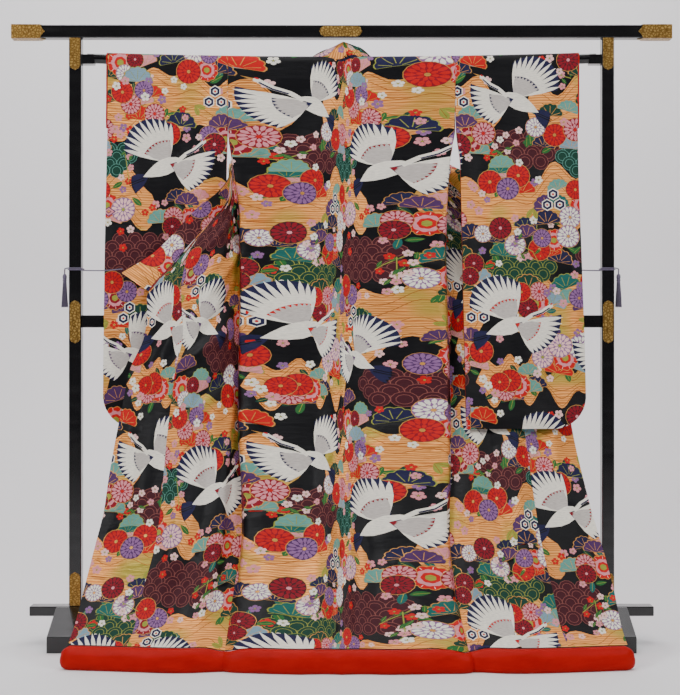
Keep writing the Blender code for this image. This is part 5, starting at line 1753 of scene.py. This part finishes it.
# Hem roll

def roll_piece(name, path, tips, *nodes):
    """The padded roll under one stretch of the hem; tips says which ends are rounded off."""
    section = spline([(a, b, 0) for a, b in (*ROLL_SECTION[1:], ROLL_SECTION[0])], 30)
    shape = bmesh.new()
    rings = []
    count = len(path)
    for i, point in enumerate(path):
        along = (path[min(i + 1, count - 1)] - path[max(i - 1, 0)]).normalized()
        out = Vector((along.y, -along.x, 0))
        out = -out if out.y > 0 else out
        size = 1.0
        for tip, reach in ((tips[0], i), (tips[1], count - 1 - i)):
            if tip:
                t = min(reach / 7, 1.0)
                size *= (0.25 + 0.75 * math.sqrt(t * (2 - t)))
        top = hem_height(point.x) - 0.0004
        pinch = 1 - 8.0 * hem_dip(point.x)
        ring = []
        for k, place_at in enumerate(section):
            share = min(max(place_at.y, 0.0), 1.0)
            puff = 1 + 0.05 * noise.noise(Vector((point.x * 16, k * 0.25, 3.0)))
            fine = 0.0006 * noise.noise(Vector((point.x * 90, k * 0.8, 8.0)))
            height = 0.020 * (1 - size) + top * share * size
            off = place_at.x * pinch * size * puff + (fine if place_at.x > 0 else -fine)
            ring.append(shape.verts.new(point + out * off + Vector((0, 0, height))))
        rings.append(ring)
    for low, high in zip(rings, rings[1:]):
        for k in range(len(low)):
            n = (k + 1) % len(low)
            shape.faces.new((low[k], low[n], high[n], high[k]))
    shape.faces.new(rings[0])
    shape.faces.new(rings[-1])
    bmesh.ops.recalc_face_normals(shape, faces=shape.faces)
    mesh = bpy.data.meshes.new(name)
    shape.to_mesh(mesh)
    shape.free()
    mesh.shade_smooth()
    mesh.set_sharp_from_angle(angle=math.radians(70))
    mesh.materials.append(vermilion())
    made = bpy.data.objects.new(name, mesh)
    bpy.context.scene.collection.objects.link(made)
    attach(made, "root")
    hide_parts(*nodes)


def hem(halves):
    lines = {}
    for side, (back, front) in halves.items():
        flat = [[Vector((p.x, p.y, 0)) for p in line] for line in (back, front)]
        lines[side] = [spline(line, max(12, int(len(line) * 7))) for line in flat]
    middle = [*reversed(lines[-1][0]), *lines[1][0][1:]]
    roll_piece("hem_roll_middle_silk", middle, (False, False), "hem_roll_back")
    for side, word in ((-1, "left"), (1, "right")):
        front = lines[side][1]
        end = front[-1] + (front[-1] - front[-2]).normalized() * 0.021
        path = [p + Vector((side * 0.0003, 0, 0)) for p in front]
        path += [front[-1].lerp(end, t) for t in (0.25, 0.5, 0.75, 1.0)]
        roll_piece(f"hem_roll_{word}_silk", path, (False, True), f"hem_roll_{word}")


# The garment, panel by panel

def garment(tile):
    halves = {}
    for side, word in ((-1, "left"), (1, "right")):
        back, _, main, main_faces, lap, lap_faces = half(side)
        halves[side] = (back[0], [*main[0], *lap[0][1:]])
        collar = collar_side(side, main, main_faces, lap, lap_faces)
        back_skin = panel(f"back_{word}_satin", f"back_{word}", back, side, 0.33, tile,
                          (-0.33 if side < 0 else 0.0, 0.0))
        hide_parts(f"back_{word}")
        front_skin = panel(f"front_{word}_satin", f"front_{word}", main, side, 0.30, tile,
                           (0.02 if side < 0 else -0.33, 0.03), (4, 2))
        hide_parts(f"front_{word}")
        lap_skin = panel(f"okumi_{word}_satin", f"okumi_{word}", lap, side, 0.17, tile,
                         (0.36 if side < 0 else 0.11, 0.45), (5, 4), slices=())
        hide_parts(f"okumi_{word}")
        collar_skin = panel(f"collar_{word}_satin", f"collar_{word}", collar, side, 0.06, tile,
                            (0.25, 0.20), (4, 3))
        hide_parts(f"collar_{word}")
        sleeve_skins(side, tile)
    neck = panel("collar_neck_satin", "collar_neck", collar_neck(), -1, 0.055, tile,
                 (0.05, 0.33), (3, 4), slices=())
    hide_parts("collar_neck")
    hem(halves)


# Tassels

def tassel(side):
    """A bound head over many hanging strands, fused at their roots."""
    word = "left" if side < 0 else "right"
    low, high = (Vector(corner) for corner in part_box(f"tassel_{word}"))
    centre = (low + high) / 2
    pick = random.Random(5)
    shape = bmesh.new()

    def lathe(profile, sides):
        rings = []
        for drop, radius in profile:
            ring = []
            for k in range(sides):
                a = 2 * math.pi * k / sides
                ring.append(shape.verts.new((centre.x + radius * math.cos(a),
                                             centre.y + radius * math.sin(a), high.z - drop)))
            rings.append(ring)
        for above, under in zip(rings, rings[1:]):
            for k in range(sides):
                n = (k + 1) % sides
                shape.faces.new((above[k], above[n], under[n], under[k]))
        shape.faces.new(rings[0])
        shape.faces.new(rings[-1])

    lathe(((0.0, 0.0026), (0.002, 0.0046), (0.006, 0.0062), (0.011, 0.0064), (0.0145, 0.0054),
           (0.016, 0.0048), (0.0165, 0.0060), (0.0185, 0.0064), (0.0205, 0.0060),
           (0.021, 0.0050), (0.026, 0.0058)), 20)
    for k in range(150):
        a = 2.399963 * k
        reach = math.sqrt((k + 0.5) / 150)
        root = Vector((centre.x + 0.0052 * reach * math.cos(a),
                       centre.y + 0.0052 * reach * math.sin(a), high.z - 0.024))
        spread = 0.0098 * reach
        tip = Vector((centre.x + spread * math.cos(a + pick.uniform(-0.1, 0.1)),
                      centre.y + spread * math.sin(a), low.z + pick.uniform(0.0, 0.004)))
        sway = Vector((pick.uniform(-1, 1), pick.uniform(-1, 1), 0)) * 0.0008
        rings = []
        for t in (0.0, 0.3, 0.65, 1.0):
            middle = root.lerp(tip, t) + sway * math.sin(math.pi * t)
            middle += (tip - root) * Vector((1, 1, 0)).length * 0
            rings.append([shape.verts.new(middle + Vector((
                0.00042 * math.cos(b), 0.00042 * math.sin(b), 0))) for b in (0, 2.09, 4.19)])
        for above, under in zip(rings, rings[1:]):
            for n in range(3):
                m = (n + 1) % 3
                shape.faces.new((above[n], above[m], under[m], under[n]))
        shape.faces.new(rings[0])
        shape.faces.new(rings[-1])
    bmesh.ops.recalc_face_normals(shape, faces=shape.faces)
    mesh = bpy.data.meshes.new(f"tassel_{word}_strands")
    shape.to_mesh(mesh)
    shape.free()
    mesh.shade_smooth()
    mesh.set_sharp_from_angle(angle=math.radians(60))
    mesh.materials.append(cord_silk())
    made = bpy.data.objects.new(f"tassel_{word}_strands", mesh)
    bpy.context.scene.collection.objects.link(made)
    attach(made, "root")
    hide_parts(f"tassel_{word}")


def cord_silk():
    if "braided_silk" in bpy.data.materials:
        return bpy.data.materials["braided_silk"]
    colour = linear(98, 88, 112)
    made, main = shader("braided_silk", colour, 0.6)
    main.inputs["Sheen Weight"].default_value = 0.2
    mottled(made, main, colour, 0.28, (400.0, 400.0, 150.0), "Object")
    weave_bump(made, main, 0.8, pitch=700.0, kind="Object")
    return made


# Stand

def lacquer():
    made, main = shader("black_lacquer_gloss", linear(10, 9, 11), 0.16)
    main.inputs["Coat Weight"].default_value = 0.25
    main.inputs["Coat Roughness"].default_value = 0.06
    dust = node(made, "ShaderNodeTexNoise", Scale=1.0, Detail=5.0)
    wire(made, places(made, (9.0, 40.0, 40.0), "Object"), "Vector", dust, "Vector")
    line = ramp(made, ((0.35, (0.13, 0.13, 0.13)), (0.70, (0.26, 0.26, 0.26))))
    wire(made, dust, "Fac", line, "Fac")
    wire(made, line, "Color", main, "Roughness")
    bump = node(made, "ShaderNodeBump", Strength=0.05, Distance=0.0004)
    wire(made, dust, "Fac", bump, "Height")
    wire(made, bump, "Normal", main, "Normal")
    return made


def gilt():
    """Gold plate chased with scrolls over a punched ground."""
    made, main = shader("gilt_engraved", linear(206, 168, 92), 0.34, 0.9)
    scroll = node(made, "ShaderNodeTexVoronoi", Scale=1.0)
    scroll.feature = "DISTANCE_TO_EDGE"
    wire(made, places(made, (120.0, 120.0, 120.0), "Object"), "Vector", scroll, "Vector")
    curls = node(made, "ShaderNodeTexWave", Scale=1.0)
    curls.wave_type = "RINGS"
    curls.inputs["Distortion"].default_value = 7.0
    wire(made, places(made, (150.0, 150.0, 150.0), "Object"), "Vector", curls, "Vector")
    mixed = node(made, "ShaderNodeMath", operation="MULTIPLY")
    wire(made, scroll, "Distance", mixed, 0)
    wire(made, curls, "Fac", mixed, 1)
    tone = ramp(made, (
        (0.0, linear(120, 86, 40)), (0.08, linear(176, 136, 68)), (0.3, linear(222, 186, 110)),
    ))
    wire(made, mixed, "Value", tone, "Fac")
    wire(made, tone, "Color", main, "Base Color")
    bump = node(made, "ShaderNodeBump", Strength=0.8, Distance=0.0008)
    wire(made, mixed, "Value", bump, "Height")
    wire(made, bump, "Normal", main, "Normal")
    return made


def stand():
    black = lacquer()
    gold = gilt()
    silk = cord_silk()
    for name, piece in NODES.items():
        if "plate" in name or "beam_cap" in name:
            finish = gold
        elif name.startswith(("beam", "base_bar", "middle_rail", "post_", "foot_", "cradle_",
                              "rod")):
            finish = black
        elif name.startswith("tie_"):
            finish = silk
        else:
            continue
        for place_slot in piece.material_slots:
            place_slot.material = finish


# Floor, backdrop, lights and camera

def studio():
    shape = bmesh.new()
    profile = [(-6.0, 0.0), (1.1, 0.0)]
    for k in range(1, 13):
        a = math.pi / 2 * k / 12
        profile.append((1.1 + 1.2 * math.sin(a), 1.2 * (1 - math.cos(a))))
    profile.append((2.3, 5.0))
    rows = [[shape.verts.new((x, y, z - 0.0002)) for x in (-7.0, 7.0)] for y, z in profile]
    for low, high in zip(rows, rows[1:]):
        shape.faces.new((low[0], low[1], high[1], high[0]))
    mesh = bpy.data.meshes.new("backdrop")
    shape.to_mesh(mesh)
    shape.free()
    mesh.shade_smooth()
    made, main = shader("backdrop_paper", linear(234, 232, 234), 0.9)
    mesh.materials.append(made)
    backdrop = bpy.data.objects.new("backdrop", mesh)
    bpy.context.scene.collection.objects.link(backdrop)
    for name, place_at, aim, size, power in (
        ("key", (-3.4, -2.9, 3.6), (0.0, 0.0, 0.9), 1.6, 140),
        ("fill", (3.6, -2.6, 3.0), (0.0, 0.0, 0.8), 1.8, 82),
        ("back_wash", (0.0, 0.9, 4.2), (0.0, 2.2, 1.2), 3.0, 135),
        ("floor_wash", (0.0, -2.4, 4.4), (0.0, -0.6, 0.0), 2.0, 60),
    ):
        light = bpy.data.lights.new(name, "AREA")
        light.size = size
        light.energy = power
        lamp = bpy.data.objects.new(name, light)
        lamp.location = place_at
        lamp.rotation_euler = (Vector(aim) - Vector(place_at)).to_track_quat("-Z", "Y").to_euler()
        bpy.context.scene.collection.objects.link(lamp)
    world = bpy.data.worlds.new("studio")
    world.use_nodes = True
    world.node_tree.nodes["Background"].inputs["Color"].default_value = (0.90, 0.90, 0.94, 1.0)
    world.node_tree.nodes["Background"].inputs["Strength"].default_value = 0.13
    bpy.context.scene.world = world


def camera():
    data = bpy.data.cameras.new("camera")
    data.sensor_fit = "VERTICAL"
    data.sensor_height = 36.0
    data.lens = FOCAL_PX * data.sensor_height / PHOTO_HIGH
    data.shift_x = (FRAME_CENTRE[0] - CENTRE_PX[0]) / PHOTO_HIGH
    data.shift_y = (CENTRE_PX[1] - FRAME_CENTRE[1]) / PHOTO_HIGH
    made = bpy.data.objects.new("camera", data)
    made.location = (0.0, STAND_Y - DISTANCE, EYE_Z)
    made.rotation_euler = (math.radians(90), 0, 0)
    bpy.context.scene.collection.objects.link(made)
    bpy.context.scene.camera = made


camera()
studio()
stand()
garment(woven_tile())
for each in (-1, 1):
    tassel(each)
